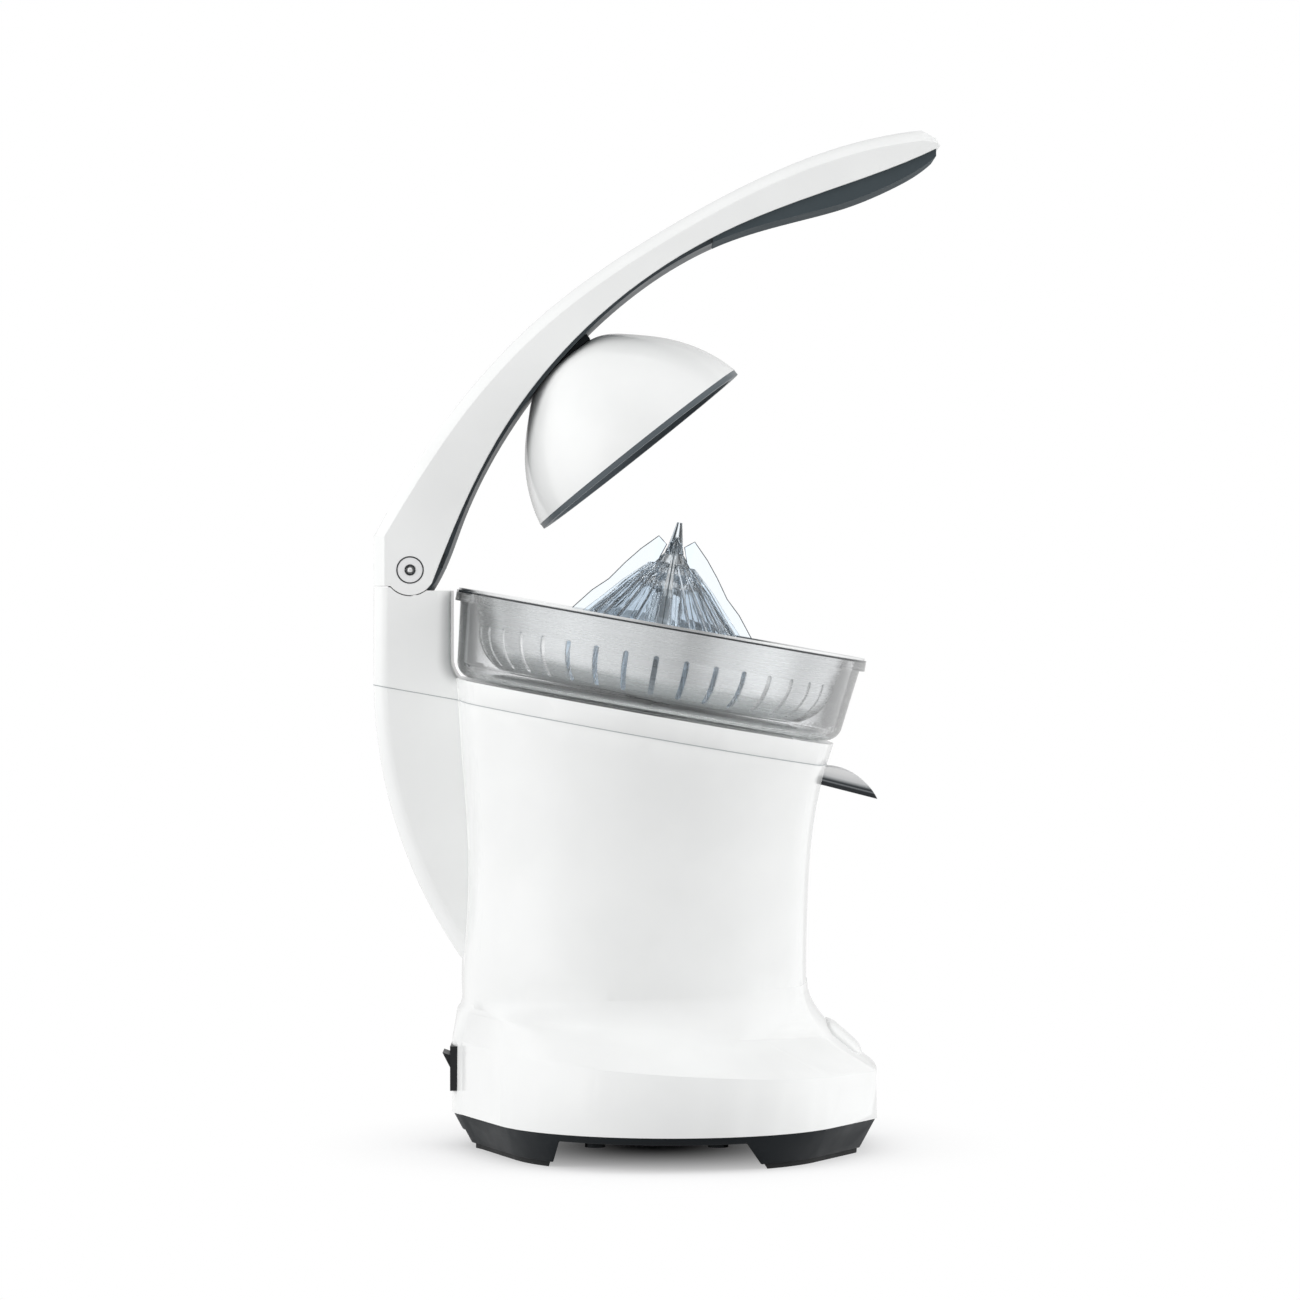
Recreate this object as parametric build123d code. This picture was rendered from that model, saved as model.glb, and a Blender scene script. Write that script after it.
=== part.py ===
"""Electric lever citrus press: one solid per piece, millimetres.

+X is the front with the spout, +Z is up, and the origin lies on the table under the middle.
The bowl, reamer and drive share one axis that leans forward.
"""
from build123d import *
import math
import os

# Play and cuts
running_gap = 0.4  # between pieces that move past each other
shaft_play = 0.05  # radial play of a shaft in its bush
seat_gap = 0.15  # between two shells of one body
overrun = 2.0  # how far a cutting tool passes the face it opens

# Lean of the bowl axis and the middle of the bowl rim
lean_degrees = 10.0
rim_x = 2.3
rim_z = 212.4

# Barrel of the housing: plan sizes at the waist, and heights
barrel_front = 61.2
barrel_back = 78.6
barrel_half_width = 75.0
barrel_foot_z = 59.0
barrel_top_z = 196.0
housing_wall = 3.0
# Each level: share of the way up, then shares of front, back and half width
barrel_level_shares = (
    (0.0, 1.0, 1.0, 1.0),
    (0.26, 1.0, 0.99, 0.99),
    (0.46, 1.025, 0.985, 0.985),
    (0.68, 1.115, 1.01, 1.01),
    (0.8, 1.205, 1.025, 1.03),
    (1.0, 1.36, 1.045, 1.06),
)
# Corner points as shares: front inner, front outer, side middle, back outer, back inner
barrel_corner_shares = ((0.942, 0.553), (0.905, 0.62), -0.09, (0.888, 0.62), (0.922, 0.547))

# Flared skirt
skirt_front = 89.4
skirt_back = 83.2
skirt_half_width = 104.0
skirt_foot_z = 14.0
skirt_wall_z = 38.5
skirt_corner_shares = ((0.988, 0.288), (0.761, 0.654), 0.045, (0.745, 0.558), (0.9435, 0.154))
# Middle of the shoulder, where the corner facets are widest
shoulder_front = 73.5
shoulder_back = 81.0
shoulder_half_width = 87.0
shoulder_z = 51.3
shoulder_slope_degrees = 3.7
shoulder_corner_shares = ((0.9, 0.41), (0.56, 0.745), 0.0, (0.765, 0.66), (0.926, 0.386))
neck_start_share = 0.3  # where the hollow blend leaves the shoulder
neck_rise = 9.0  # how far the blend runs up the barrel
neck_blend_shares = (0.0, 0.2, 0.4, 0.6, 0.8, 1.0)
shoulder_drop_share = 0.8  # how far the inner shoulder sits lower, as a share of the wall

# Deck under the bowl, measured down the lean axis from the rim
parting_drop = 44.5
deck_drop = 36.0
deck_skin = 3.0
deck_wall = 3.5
boss_radius = 13.0
boss_drop = 47.0

# Hinge and column
hinge_x = -99.3
hinge_z = 233.9
column_half_width = 20.0
column_back = 15.0  # behind the hinge
column_front = 16.3  # ahead of the hinge
column_straight_z = 190.0
column_foot_z = 77.5
column_foot_x = -79.0
column_root_x = -68.0
column_edge_round = 6.0
column_front_round = 5.5
column_top_drop = 7.0  # below the hinge, at the back
column_lip_drop = 8.3  # below the hinge, at the front
column_lip = 1.8  # side lip that hides the pocket
pocket_room = 3.2  # for the cover's end as the arm swings
flare_z = 187.0
flare_rise = 11.0
tongue_radius = 9.4
tongue_half_width = 8.0
neck_back = 9.4
neck_depth = 18.0
washer_thickness = 0.55
washer_radius = 7.0
pin_radius = 3.5
bolt_head_radius = 5.0
bolt_ring = 0.5  # open ring round the head
bolt_head_depth = 3.0
bolt_socket_radius = 2.3
bolt_socket_depth = 1.8

# Arm, measured from the hinge: reach ahead of it and rise above it
arm_reach = 213.7
arm_rise = 177.6
arm_half_width = 20.0
arm_bevel = 4.6  # depth of the bevel along the top
arm_bevel_width = 5.5
knuckle_radius = 10.2
heel_drop = 6.5
heel_rise = 13.6
arm_top_shares = (
    (-0.012, 0.2), (0.0936, 0.384), (0.2522, 0.584), (0.4637, 0.7635),
    (0.675, 0.8998), (0.834, 0.9702), (0.966, 1.0),
)
arm_nose_shares = ((0.9925, 0.9837), (1.0, 0.9634), (0.9925, 0.9566))
arm_under_shares = (
    (0.9134, 0.9155), (0.7548, 0.8474), (0.5962, 0.7703), (0.4375, 0.6565),
    (0.2789, 0.4842), (0.1731, 0.3136), (0.0936, 0.1273),
)
knuckle_front_degrees = -31.0
# Dark strip under the arm: outer line from the hinge to the nose
trim_start_radius = 11.8
trim_start_degrees = -50.0
trim_bend_x = 13.20666  # ahead of the hinge
trim_bend_z = 1.20768
trim_outer_shares = (
    (0.0936, 0.1070), (0.1731, 0.2990), (0.2789, 0.4713), (0.4375, 0.6486),
    (0.5962, 0.7560), (0.7548, 0.8125), (0.8339, 0.8395), (0.9134, 0.8795), (0.9663, 0.9150),
    (0.9925, 0.9400),
)
trim_half_width = 17.5
grip_half_width = 18.6
cover_share = 0.105  # share of the reach where the hinge cover ends
grip_share = 0.57  # share of the reach where the grip pad starts

# Press dome: rim middle measured from the hinge, and the lean of its axis
dome_top_share = (0.29405626479804, 0.48511541017219)  # middle of the dome's flat top, along the arm
dome_tilt_share = 0.95712080738691  # of the slope of the arm
dome_radius = 50.5
dome_height = 46.2
dome_wall = 2.4
dome_top_radius = 11.6
dome_outline_shares = ((1.0, 0.0), (0.929, 0.2437), (0.717, 0.6067), (0.52, 0.8203), (0.385, 0.9394))
liner_wall = 2.0
liner_lip = 2.2
bracket_half_length = 12.2
bracket_half_width = 13.0
bracket_height = 12.0
dome_screw_radius = 2.0
dome_screw_head_radius = 3.6
dome_screw_head = 2.4

# Juice bowl, heights measured down from the rim plane
bowl_lip_radius = 84.5
bowl_lip_top = 0.8
bowl_lip_foot = 5.2
bowl_wall_radius = 82.4
bowl_foot_radius = 78.6
bowl_depth = 35.5
bowl_wall = 2.4
bowl_floor = 2.4
bowl_corner = 7.0
chimney_radius = 9.0
chimney_bore = 6.6
chimney_top = 16.0
drain_reach = 64.0
drain_bore = 5.0
drain_radius = 7.0
drain_length = 7.0
drain_gap = 0.3

# Strainer basket
flange_radius = 83.7
basket_radius = 77.0
basket_foot_radius = 73.0
basket_depth = 31.0
basket_sheet = 0.8
basket_corner = 18.0
basket_hole = 10.2
basket_collar = 8.0
slot_count = 38
slot_width = 2.2
slot_top = 12.6
slot_height = 15.6
slot_reach = 18.0

# Reamer, heights above the rim plane
reamer_outline_shares = (
    (1.0, -1.0), (0.93, -0.45), (0.815, 0.0), (0.63, 0.268), (0.465, 0.519), (0.235, 0.81), (0.0925, 0.966),
)
reamer_radius = 40.0
reamer_height = 29.5
reamer_spike = 41.5
spike_radius = 1.1
rib_depth = 2.0
rib_thickness = 1.9
rib_count = 24
reamer_wall = 2.4
rib_root = 1.0  # how deep a rib is set into the cone
fin_thickness = 1.6
fin_count = 4
fin_radius = 37.0
fin_height = 34.8
fin_outline_shares = (
    (1.06, -0.5), (1.0, 0.0), (0.822, 0.241), (0.66, 0.405),
    (0.514, 0.626), (0.37, 0.816), (0.2, 1.0), (0.1, 0.917),
)
hub_radius = 7.4
hub_foot = 13.5
hub_top = 14.0
hub_bore_top = 11.5

# Drive
shaft_radius = 4.0
hex_radius = 3.9
bush_radius = 7.5
bush_flange = 9.0
bush_flange_height = 1.5
seal_radius = 6.2
seal_height = 5.0
plate_radius = 58.0
plate_thickness = 3.0
gear_width = 7.5
gear_gap = 1.5
gear_module = 1.5
pressure_degrees = 25.0
backlash = 0.16
tip_share = 1.0
root_share = 1.25
output_teeth = 44
pinion_teeth = 12
idler_teeth = 34
idler_bearing_degrees = 118.0
motor_bearing_degrees = 0.0
idler_pin_radius = 3.0
motor_radius = 23.0
motor_length = 62.0
motor_edge = 3.0
motor_shaft_radius = 2.5
post_radius = 4.0
post_circle = 52.0
post_degrees = (18.0, -62.0, -128.0, 176.0)

# Spout trough, in side view
spout_root_x = 54.0
spout_neck_x = 69.0
spout_tip_x = 89.4
spout_root_z = 150.2
spout_neck_z = 146.5
spout_tip_z = 141.3
spout_wall_height = 7.7
spout_half_width = 14.0
spout_wall = 1.2
spout_bow_shares = (0.62, 0.3)  # where the curved upper edge bows out

# Base plate, feet and fasteners
plate_top_z = 14.0
plate_rim = 0.6  # how far the top edge sits inside the skirt
plate_inset = 7.0  # how far the wall draws in down to the pads
block_foot_z = 2.0
pad_height = 2.0
pad_inset = 1.2
channel_z = 11.0  # roof of the arch from side to side
channel_top = (-38.0, 35.0)
channel_foot = (-41.0, 42.0)
lane_z = 7.0  # roof of the shallow lane from front to back
lane_half_width = 9.0
base_boss_radius = 6.0
base_screw_radius = 2.0
base_screw_head_radius = 4.0
base_screw_head = 2.6
base_screw_length = 16.0
base_screw_x = 24.0
base_screw_back_x = -24.0
base_screw_share = 0.24137931034483  # of the ledge between barrel and skirt
grommet_x = -60.0
grommet_radius = 6.0
grommet_flange = 8.0
grommet_bore = 3.4
grommet_flange_height = 1.6

# Rear switch
switch_z = 32.2
switch_x = -80.3
switch_half_width = 12.0
switch_half_height = 9.0
bezel_rim = 1.8
bezel_front_x = -83.5
bezel_depth = 9.0
rocker_half_width = 9.2
rocker_half_height = 6.2
rocker_out = 6.4  # reach of the pressed-out end beyond the pivot
rocker_in = 3.2
rocker_back = 3.0
rocker_pin_radius = 1.5


def lean_frame():
    """Frame on the bowl axis: origin in the rim plane, local Z along the axis, local X forward."""
    lean = math.radians(lean_degrees)
    return Plane(
        origin=(rim_x, 0, rim_z),
        x_dir=(math.cos(lean), 0, -math.sin(lean)),
        z_dir=(math.sin(lean), 0, math.cos(lean)),
    )


def leaning(shape):
    """Place a shape drawn on the bowl axis."""
    return lean_frame().location * shape


def lean_plane(drop):
    """Plane square to the bowl axis, a drop below the rim."""
    return lean_frame().offset(-drop)


def rod(radius, low, high, x=0, y=0):
    """Round bar along Z."""
    return Pos(x, y, low) * extrude(Circle(radius), high - low)


def cross_rod(radius, half_length, x, z, start=None):
    """Round bar along Y, both ways from the middle or outward from a start."""
    face = Plane(origin=(x, 0, z), z_dir=(0, 1, 0)) * Circle(radius)
    if start is None:
        return extrude(face, half_length, both=True)
    return Pos(0, start, 0) * extrude(face, half_length - start)


def turned(outline):
    """Solid of revolution about Z from radius and height points."""
    return revolve(make_face(Plane.XZ * Polyline(*outline, close=True)), Axis.Z)


def side_plate(outline, half_width):
    """Side view outline, X and Z points, thickened both ways in Y."""
    return extrude(make_face(Plane.XZ * Polyline(*outline, close=True)), half_width, both=True)


def block(x_range, y_range, z_range):
    """Box between two corners."""
    size = [high - low for low, high in (x_range, y_range, z_range)]
    middle = [(high + low) / 2 for low, high in (x_range, y_range, z_range)]
    return Pos(*middle) * Box(*size)


def solid_group(solids):
    """Several separate solids as one node."""
    return Compound(children=[item.solid() for item in solids])


def ring_section(plane, front, back, half_width, shares):
    """Plan outline with bowed front, back and sides and four straight corner strips."""
    front_inner, front_outer, side_middle, back_outer, back_inner = shares
    inner_x, inner_y = front * front_inner[0], half_width * front_inner[1]
    outer_x, outer_y = front * front_outer[0], half_width * front_outer[1]
    side_x = front * side_middle
    rear_x, rear_y = -back * back_outer[0], half_width * back_outer[1]
    tail_x, tail_y = -back * back_inner[0], half_width * back_inner[1]
    edges = [
        ThreePointArc((inner_x, -inner_y), (front, 0), (inner_x, inner_y)),
        Line((inner_x, inner_y), (outer_x, outer_y)),
        ThreePointArc((outer_x, outer_y), (side_x, half_width), (rear_x, rear_y)),
        Line((rear_x, rear_y), (tail_x, tail_y)),
        ThreePointArc((tail_x, tail_y), (-back, 0), (tail_x, -tail_y)),
        Line((tail_x, -tail_y), (rear_x, -rear_y)),
        ThreePointArc((rear_x, -rear_y), (side_x, -half_width), (outer_x, -outer_y)),
        Line((outer_x, -outer_y), (inner_x, -inner_y)),
    ]
    return plane * make_face(edges)


def flat_plane(height):
    return Plane(origin=(0, 0, height))


def shoulder_plane(height, slope_degrees=shoulder_slope_degrees):
    """Plane that falls gently towards the front."""
    slope = math.radians(slope_degrees)
    return Plane(
        origin=(0, 0, height),
        x_dir=(math.cos(slope), 0, -math.sin(slope)),
        z_dir=(math.sin(slope), 0, math.cos(slope)),
    )


def barrel_form(inset, drop=0):
    """Waisted barrel, smooth from its foot to above the deck."""
    height = barrel_top_z - barrel_foot_z
    sections = []
    for rise, front, back, half in barrel_level_shares:
        level = barrel_foot_z + height * rise
        if rise == 0:
            level -= drop
        sections.append(ring_section(
            flat_plane(level),
            barrel_front * front - inset,
            barrel_back * back - inset,
            barrel_half_width * half - inset,
            barrel_corner_shares,
        ))
    return loft(sections)


def skirt_form(inset, drop=0, below=0):
    """Flared skirt: upright wall, then a faceted shoulder up to the barrel."""
    foot = ring_section(
        flat_plane(skirt_foot_z - below),
        skirt_front - inset, skirt_back - inset, skirt_half_width - inset, skirt_corner_shares,
    )
    wall_top = ring_section(
        shoulder_plane(skirt_wall_z - drop),
        skirt_front - inset, skirt_back - inset, skirt_half_width - inset, skirt_corner_shares,
    )
    shoulder = ring_section(
        shoulder_plane(shoulder_z - drop),
        shoulder_front - inset, shoulder_back - inset, shoulder_half_width - inset, shoulder_corner_shares,
    )
    sections = [foot, wall_top, shoulder]
    for share in neck_blend_shares:
        sections.append(neck_section(share, inset, drop))
    return loft(sections, ruled=True)


def neck_section(share, inset, drop):
    """Outline of the hollow blend between shoulder and barrel; the share runs from one to the other."""
    weights = ((1 - share) ** 2, 2 * share * (1 - share), share ** 2)
    start = neck_start_share
    shoulder = (shoulder_front, shoulder_back, shoulder_half_width, shoulder_z, shoulder_slope_degrees)
    foot = (barrel_front, barrel_back, barrel_half_width, barrel_foot_z, 0)
    low = [a + (b - a) * start for a, b in zip(shoulder, foot)]
    top = (barrel_front, barrel_back, barrel_half_width, barrel_foot_z + neck_rise, 0)
    sizes = [sum(w * v for w, v in zip(weights, column)) for column in zip(low, foot, top)]
    front, back, half_width, height, slope = sizes
    rest = weights[0] * (1 - start)
    shares = mixed_shares(barrel_corner_shares, shoulder_corner_shares, rest)
    return ring_section(
        shoulder_plane(height - drop, slope),
        front - inset, back - inset, half_width - inset, shares,
    )


def mixed_shares(first, second, part):
    """Corner shares between two outlines."""
    mixed = []
    for a, b in zip(first, second):
        if isinstance(a, tuple):
            mixed.append(tuple(u + (v - u) * part for u, v in zip(a, b)))
        else:
            mixed.append(a + (b - a) * part)
    return mixed


def column_form():
    """Hinge column in side view: straight back, then one long arc down to the housing."""
    back_x = hinge_x - column_back
    front_x = hinge_x + column_front
    top_z = hinge_z - column_top_drop
    lip_z = hinge_z - column_lip_drop
    run = column_foot_x - back_x
    fall = column_straight_z - column_foot_z
    arc_radius = (run * run + fall * fall) / (2 * run)
    half_turn = math.asin(fall / arc_radius) / 2
    arc_middle = (
        back_x + arc_radius * (1 - math.cos(half_turn)),
        column_straight_z - arc_radius * math.sin(half_turn),
    )
    outline = [
        Line((back_x, top_z), (back_x, column_straight_z)),
        ThreePointArc((back_x, column_straight_z), arc_middle, (column_foot_x, column_foot_z)),
        Line((column_foot_x, column_foot_z), (column_root_x, column_foot_z)),
        Line((column_root_x, column_foot_z), (column_root_x, flare_z)),
        Line((column_root_x, flare_z), (front_x + flare_rise, flare_z)),
        TangentArc((front_x + flare_rise, flare_z), (front_x, flare_z + flare_rise), tangent=(-1, 0)),
        Line((front_x, flare_z + flare_rise), (front_x, lip_z)),
        Line((front_x, lip_z), (hinge_x, lip_z)),
        Line((hinge_x, lip_z), (hinge_x, top_z)),
        Line((hinge_x, top_z), (back_x, top_z)),
    ]
    body = extrude(Plane.XZ * make_face(outline), column_half_width, both=True)
    back_edges = [
        edge for edge in body.edges()
        if edge.center().X < column_foot_x - column_edge_round and abs(edge.center().Y) > tongue_half_width
        and edge.center().Z < top_z - overrun
    ]
    body = fillet(back_edges, column_edge_round)
    front_edges = [
        edge for edge in body.edges()
        if abs(edge.center().X - front_x) < overrun / 2 and abs(edge.center().Y) > tongue_half_width
    ]
    return fillet(front_edges, column_front_round)


def hinge_seat(column):
    """Saddle for the arm's knuckle, pocket for the cover, and the tongue that carries the pin."""
    saddle = cross_rod(knuckle_radius + running_gap, column_half_width + overrun, hinge_x, hinge_z)
    pocket_radius = trim_start_radius + pocket_room
    pocket = cross_rod(pocket_radius, column_half_width - column_lip, hinge_x, hinge_z)
    pocket = split(pocket, bisect_by=Plane(origin=(hinge_x, 0, 0), z_dir=(1, 0, 0)), keep=Keep.TOP)
    tongue = cross_rod(tongue_radius, tongue_half_width, hinge_x, hinge_z)
    tongue += block(
        (hinge_x - neck_back, hinge_x),
        (-tongue_half_width, tongue_half_width),
        (hinge_z - neck_depth, hinge_z),
    )
    bore = cross_rod(pin_radius + shaft_play, tongue_half_width + overrun, hinge_x, hinge_z)
    return column - saddle - pocket + tongue - bore


def drain_point():
    """Middle of the drain on the bowl axis frame."""
    return drain_reach, 0


def build_upper_deck():
    barrel = barrel_form(0)
    top = split(barrel, bisect_by=lean_plane(parting_drop), keep=Keep.TOP)
    top = split(top, bisect_by=lean_plane(deck_drop), keep=Keep.BOTTOM)
    hollow = split(barrel_form(deck_wall), bisect_by=lean_plane(deck_drop + deck_skin), keep=Keep.BOTTOM)
    top -= hollow
    column = split(hinge_seat(column_form()), bisect_by=lean_plane(parting_drop), keep=Keep.TOP)
    drain_x, drain_y = drain_point()
    collar = leaning(rod(drain_radius + deck_wall, -parting_drop, -deck_drop, drain_x, drain_y))
    collar = split(collar & barrel, bisect_by=lean_plane(deck_drop), keep=Keep.BOTTOM)
    boss = leaning(rod(boss_radius, -boss_drop, -deck_drop))
    deck = top + boss + collar + column
    deck -= leaning(rod(bush_radius, -boss_drop - overrun, -deck_drop + overrun))
    deck -= leaning(rod(bush_flange, -deck_drop - bush_flange_height, -deck_drop + overrun))
    drain_foot = -parting_drop - overrun
    deck -= leaning(rod(drain_radius + drain_gap, drain_foot, -deck_drop + overrun, drain_x, drain_y))
    return deck


def spout_outline(lift):
    """Side view of the spout, its floor raised by a lift."""
    bow_x = spout_neck_x + (spout_tip_x - spout_neck_x) * spout_bow_shares[0]
    bow_z = spout_tip_z + (spout_neck_z + spout_wall_height - spout_tip_z) * (1 - spout_bow_shares[1])
    return [
        Line((spout_root_x, spout_root_z + lift), (spout_neck_x, spout_neck_z + lift)),
        Line((spout_neck_x, spout_neck_z + lift), (spout_tip_x, spout_tip_z + lift)),
        ThreePointArc(
            (spout_tip_x, spout_tip_z + lift),
            (bow_x, bow_z + lift),
            (spout_neck_x, spout_neck_z + spout_wall_height + lift),
        ),
        Line(
            (spout_neck_x, spout_neck_z + spout_wall_height + lift),
            (spout_root_x, spout_root_z + spout_wall_height + lift),
        ),
        Line((spout_root_x, spout_root_z + spout_wall_height + lift), (spout_root_x, spout_root_z + lift)),
    ]


def spout_form(half_width, lift=0):
    return extrude(Plane.XZ * make_face(spout_outline(lift)), half_width, both=True)


def build_spout():
    inner = spout_half_width - spout_wall
    hollow = spout_form(inner, spout_wall)
    hollow += Pos(0, 0, spout_wall_height) * hollow
    hollow += Pos(spout_wall, 0, 0) * spout_form(inner, spout_wall)
    return spout_form(spout_half_width) - hollow


def switch_opening():
    return block(
        (skirt_back * -1 - overrun, switch_x + bezel_depth),
        (-switch_half_width, switch_half_width),
        (switch_z - switch_half_height, switch_z + switch_half_height),
    )


def base_screw_places():
    side = barrel_half_width + base_screw_share * (skirt_half_width - barrel_half_width)
    return [(x, y) for x in (base_screw_x, base_screw_back_x) for y in (-side, side)]


def build_motor_housing():
    outer = barrel_form(0) + skirt_form(0)
    column = column_form()
    shell = split(outer + column, bisect_by=lean_plane(parting_drop), keep=Keep.BOTTOM)
    drop = housing_wall * shoulder_drop_share
    shell -= barrel_form(housing_wall, drop)
    shell -= skirt_form(housing_wall, drop, overrun)
    for x, y in base_screw_places():
        boss = rod(base_boss_radius, skirt_foot_z, barrel_foot_z, x, y)
        shell += boss & outer
    for x, y in base_screw_places():
        shell -= rod(base_screw_radius, skirt_foot_z - overrun, skirt_foot_z + base_screw_length, x, y)
    shell -= switch_opening()
    shell -= spout_form(spout_half_width)
    shell -= Pos(0, 0, spout_wall_height) * spout_form(spout_half_width)
    return shell


def plate_section(height, inset):
    """Outline of the underside at one height, drawn in from the skirt."""
    return ring_section(
        flat_plane(height),
        skirt_front - inset, skirt_back - inset, skirt_half_width - inset, skirt_corner_shares,
    )


def channel_form(top_z, widen):
    """Arch from side to side between the front and back feet, widened to clear the pads."""
    slope = (channel_foot[1] - channel_top[1]) / channel_z
    reach = (top_z - channel_z) * slope
    outline = (
        (channel_foot[0] - widen, 0),
        (channel_foot[1] + widen, 0),
        (channel_top[1] - reach + widen, top_z),
        (channel_top[0] + reach - widen, top_z),
    )
    return side_plate(outline, skirt_half_width)


def lane_form(top_z, widen):
    """Shallow lane from front to back between the left and right feet."""
    half_width = lane_half_width + widen
    return block((-skirt_back, skirt_front), (-half_width, half_width), (0, top_z))


def build_base_plate():
    plate = loft([plate_section(plate_top_z, plate_rim), plate_section(block_foot_z, plate_inset)], ruled=True)
    plate -= channel_form(channel_z, 0)
    plate -= lane_form(lane_z, 0)
    for x, y in base_screw_places():
        plate -= rod(base_screw_radius, 0, plate_top_z + overrun, x, y)
    plate -= rod(grommet_radius, 0, plate_top_z + overrun, grommet_x)
    return plate


def build_rubber_feet():
    sole = extrude(plate_section(block_foot_z - pad_height, plate_inset + pad_inset), pad_height)
    sole -= channel_form(channel_z, pad_inset)
    sole -= lane_form(lane_z, pad_inset)
    return solid_group(sole.solids())


def build_base_screws():
    screws = []
    for x, y in base_screw_places():
        head = rod(base_screw_head_radius, channel_z - base_screw_head, channel_z, x, y)
        shank = rod(base_screw_radius, channel_z, skirt_foot_z + base_screw_length, x, y)
        screws.append(head + shank)
    return solid_group(screws)


def build_cord_grommet():
    sleeve = rod(grommet_radius, lane_z, plate_top_z, grommet_x)
    flange = rod(grommet_flange, plate_top_z, plate_top_z + grommet_flange_height, grommet_x)
    bore = rod(grommet_bore, 0, plate_top_z + skirt_wall_z, grommet_x)
    return sleeve + flange - bore


def build_switch_bezel():
    frame = block(
        (bezel_front_x, switch_x + bezel_depth),
        (-switch_half_width, switch_half_width),
        (switch_z - switch_half_height, switch_z + switch_half_height),
    )
    window = block(
        (bezel_front_x - overrun, switch_x + bezel_depth - bezel_rim),
        (-switch_half_width + bezel_rim, switch_half_width - bezel_rim),
        (switch_z - switch_half_height + bezel_rim, switch_z + switch_half_height - bezel_rim),
    )
    pin = cross_rod(rocker_pin_radius, switch_half_width - bezel_rim, switch_x, switch_z)
    return frame - window + pin


def build_power_rocker():
    outline = (
        (switch_x - rocker_out, switch_z + rocker_half_height),
        (switch_x - rocker_in, switch_z),
        (switch_x - rocker_in, switch_z - rocker_half_height),
        (switch_x + rocker_back, switch_z - rocker_half_height / 2),
        (switch_x + rocker_back, switch_z + rocker_half_height / 2),
    )
    rocker = side_plate(outline, rocker_half_width)
    return rocker - cross_rod(rocker_pin_radius + shaft_play, switch_half_width, switch_x, switch_z)


def build_juice_bowl():
    inner_foot = bowl_foot_radius - bowl_wall
    inner_top = bowl_wall_radius - bowl_wall
    floor = bowl_floor - bowl_depth
    outline = (
        (chimney_bore, -bowl_depth),
        (bowl_foot_radius, -bowl_depth),
        (bowl_wall_radius, -bowl_lip_foot),
        (bowl_lip_radius, -bowl_lip_foot),
        (bowl_lip_radius, -bowl_lip_top),
        (inner_top, -bowl_lip_top),
        (inner_foot, floor),
        (chimney_radius, floor),
        (chimney_radius, -chimney_top),
        (chimney_bore, -chimney_top),
    )
    bowl = turned(outline)
    outer_rings = [edge for edge in bowl.edges() if abs(edge.center().Z + bowl_depth) < seat_gap]
    bowl = fillet(outer_rings[-1:] if outer_rings[-1].radius > inner_foot else outer_rings[:1], bowl_corner)
    inner_rings = [
        edge for edge in bowl.edges()
        if abs(edge.center().Z - floor) < seat_gap and abs(edge.radius - inner_foot) < seat_gap
    ]
    bowl = fillet(inner_rings, bowl_corner - bowl_wall)
    x, y = drain_point()
    bowl += rod(drain_radius, -bowl_depth - drain_length, floor, x, y)
    bowl -= rod(drain_bore, -bowl_depth - drain_length - overrun, floor + overrun, x, y)
    return leaning(bowl)


def basket_edges(inset, floor):
    """Half section of one face of the basket: floor, round corner and wall up to the flange."""
    foot = basket_foot_radius - inset
    bend = basket_corner - inset
    middle = bend * math.cos(math.pi / 4)
    corner_z = floor + bend
    return foot, bend, middle, corner_z


def build_filter_basket():
    floor = -basket_depth
    foot, bend, middle, corner_z = basket_edges(0, floor)
    inner_floor = floor + basket_sheet
    inner_foot, inner_bend, inner_middle, inner_corner_z = basket_edges(basket_sheet, inner_floor)
    flange_z = basket_sheet - bowl_lip_top
    inner_top = basket_radius - basket_sheet
    collar = basket_hole + basket_sheet
    collar_z = basket_collar - basket_depth
    edges = [
        Line((basket_hole, floor), (foot - bend, floor)),
        ThreePointArc((foot - bend, floor), (foot - bend + middle, corner_z - middle), (foot, corner_z)),
        Line((foot, corner_z), (basket_radius, -bowl_lip_top)),
        Line((basket_radius, -bowl_lip_top), (flange_radius, -bowl_lip_top)),
        Line((flange_radius, -bowl_lip_top), (flange_radius, flange_z)),
        Line((flange_radius, flange_z), (inner_top, flange_z)),
        Line((inner_top, flange_z), (inner_foot, inner_corner_z)),
        ThreePointArc(
            (inner_foot, inner_corner_z),
            (inner_foot - inner_bend + inner_middle, inner_corner_z - inner_middle),
            (inner_foot - inner_bend, inner_floor),
        ),
        Line((inner_foot - inner_bend, inner_floor), (collar, inner_floor)),
        Line((collar, inner_floor), (collar, collar_z)),
        Line((collar, collar_z), (basket_hole, collar_z)),
        Line((basket_hole, collar_z), (basket_hole, floor)),
    ]
    basket = revolve(Plane.XZ * make_face(edges), Axis.Z)
    slot_plane = Plane(
        origin=(basket_radius - slot_reach, 0, -slot_top - slot_height / 2),
        x_dir=(0, 0, 1),
        z_dir=(1, 0, 0),
    )
    slot = extrude(slot_plane * SlotOverall(slot_height, slot_width), slot_reach + overrun)
    slots = [Rot(0, 0, 360 * (index + 1 / 2) / slot_count) * slot for index in range(slot_count)]
    return leaning(basket - slots)


def reamer_points(shrink):
    """Outer line of the reamer from its foot to the root of the spike, set in by a shrink."""
    return [(reamer_radius * r - shrink, reamer_height * h) for r, h in reamer_outline_shares]


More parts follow.
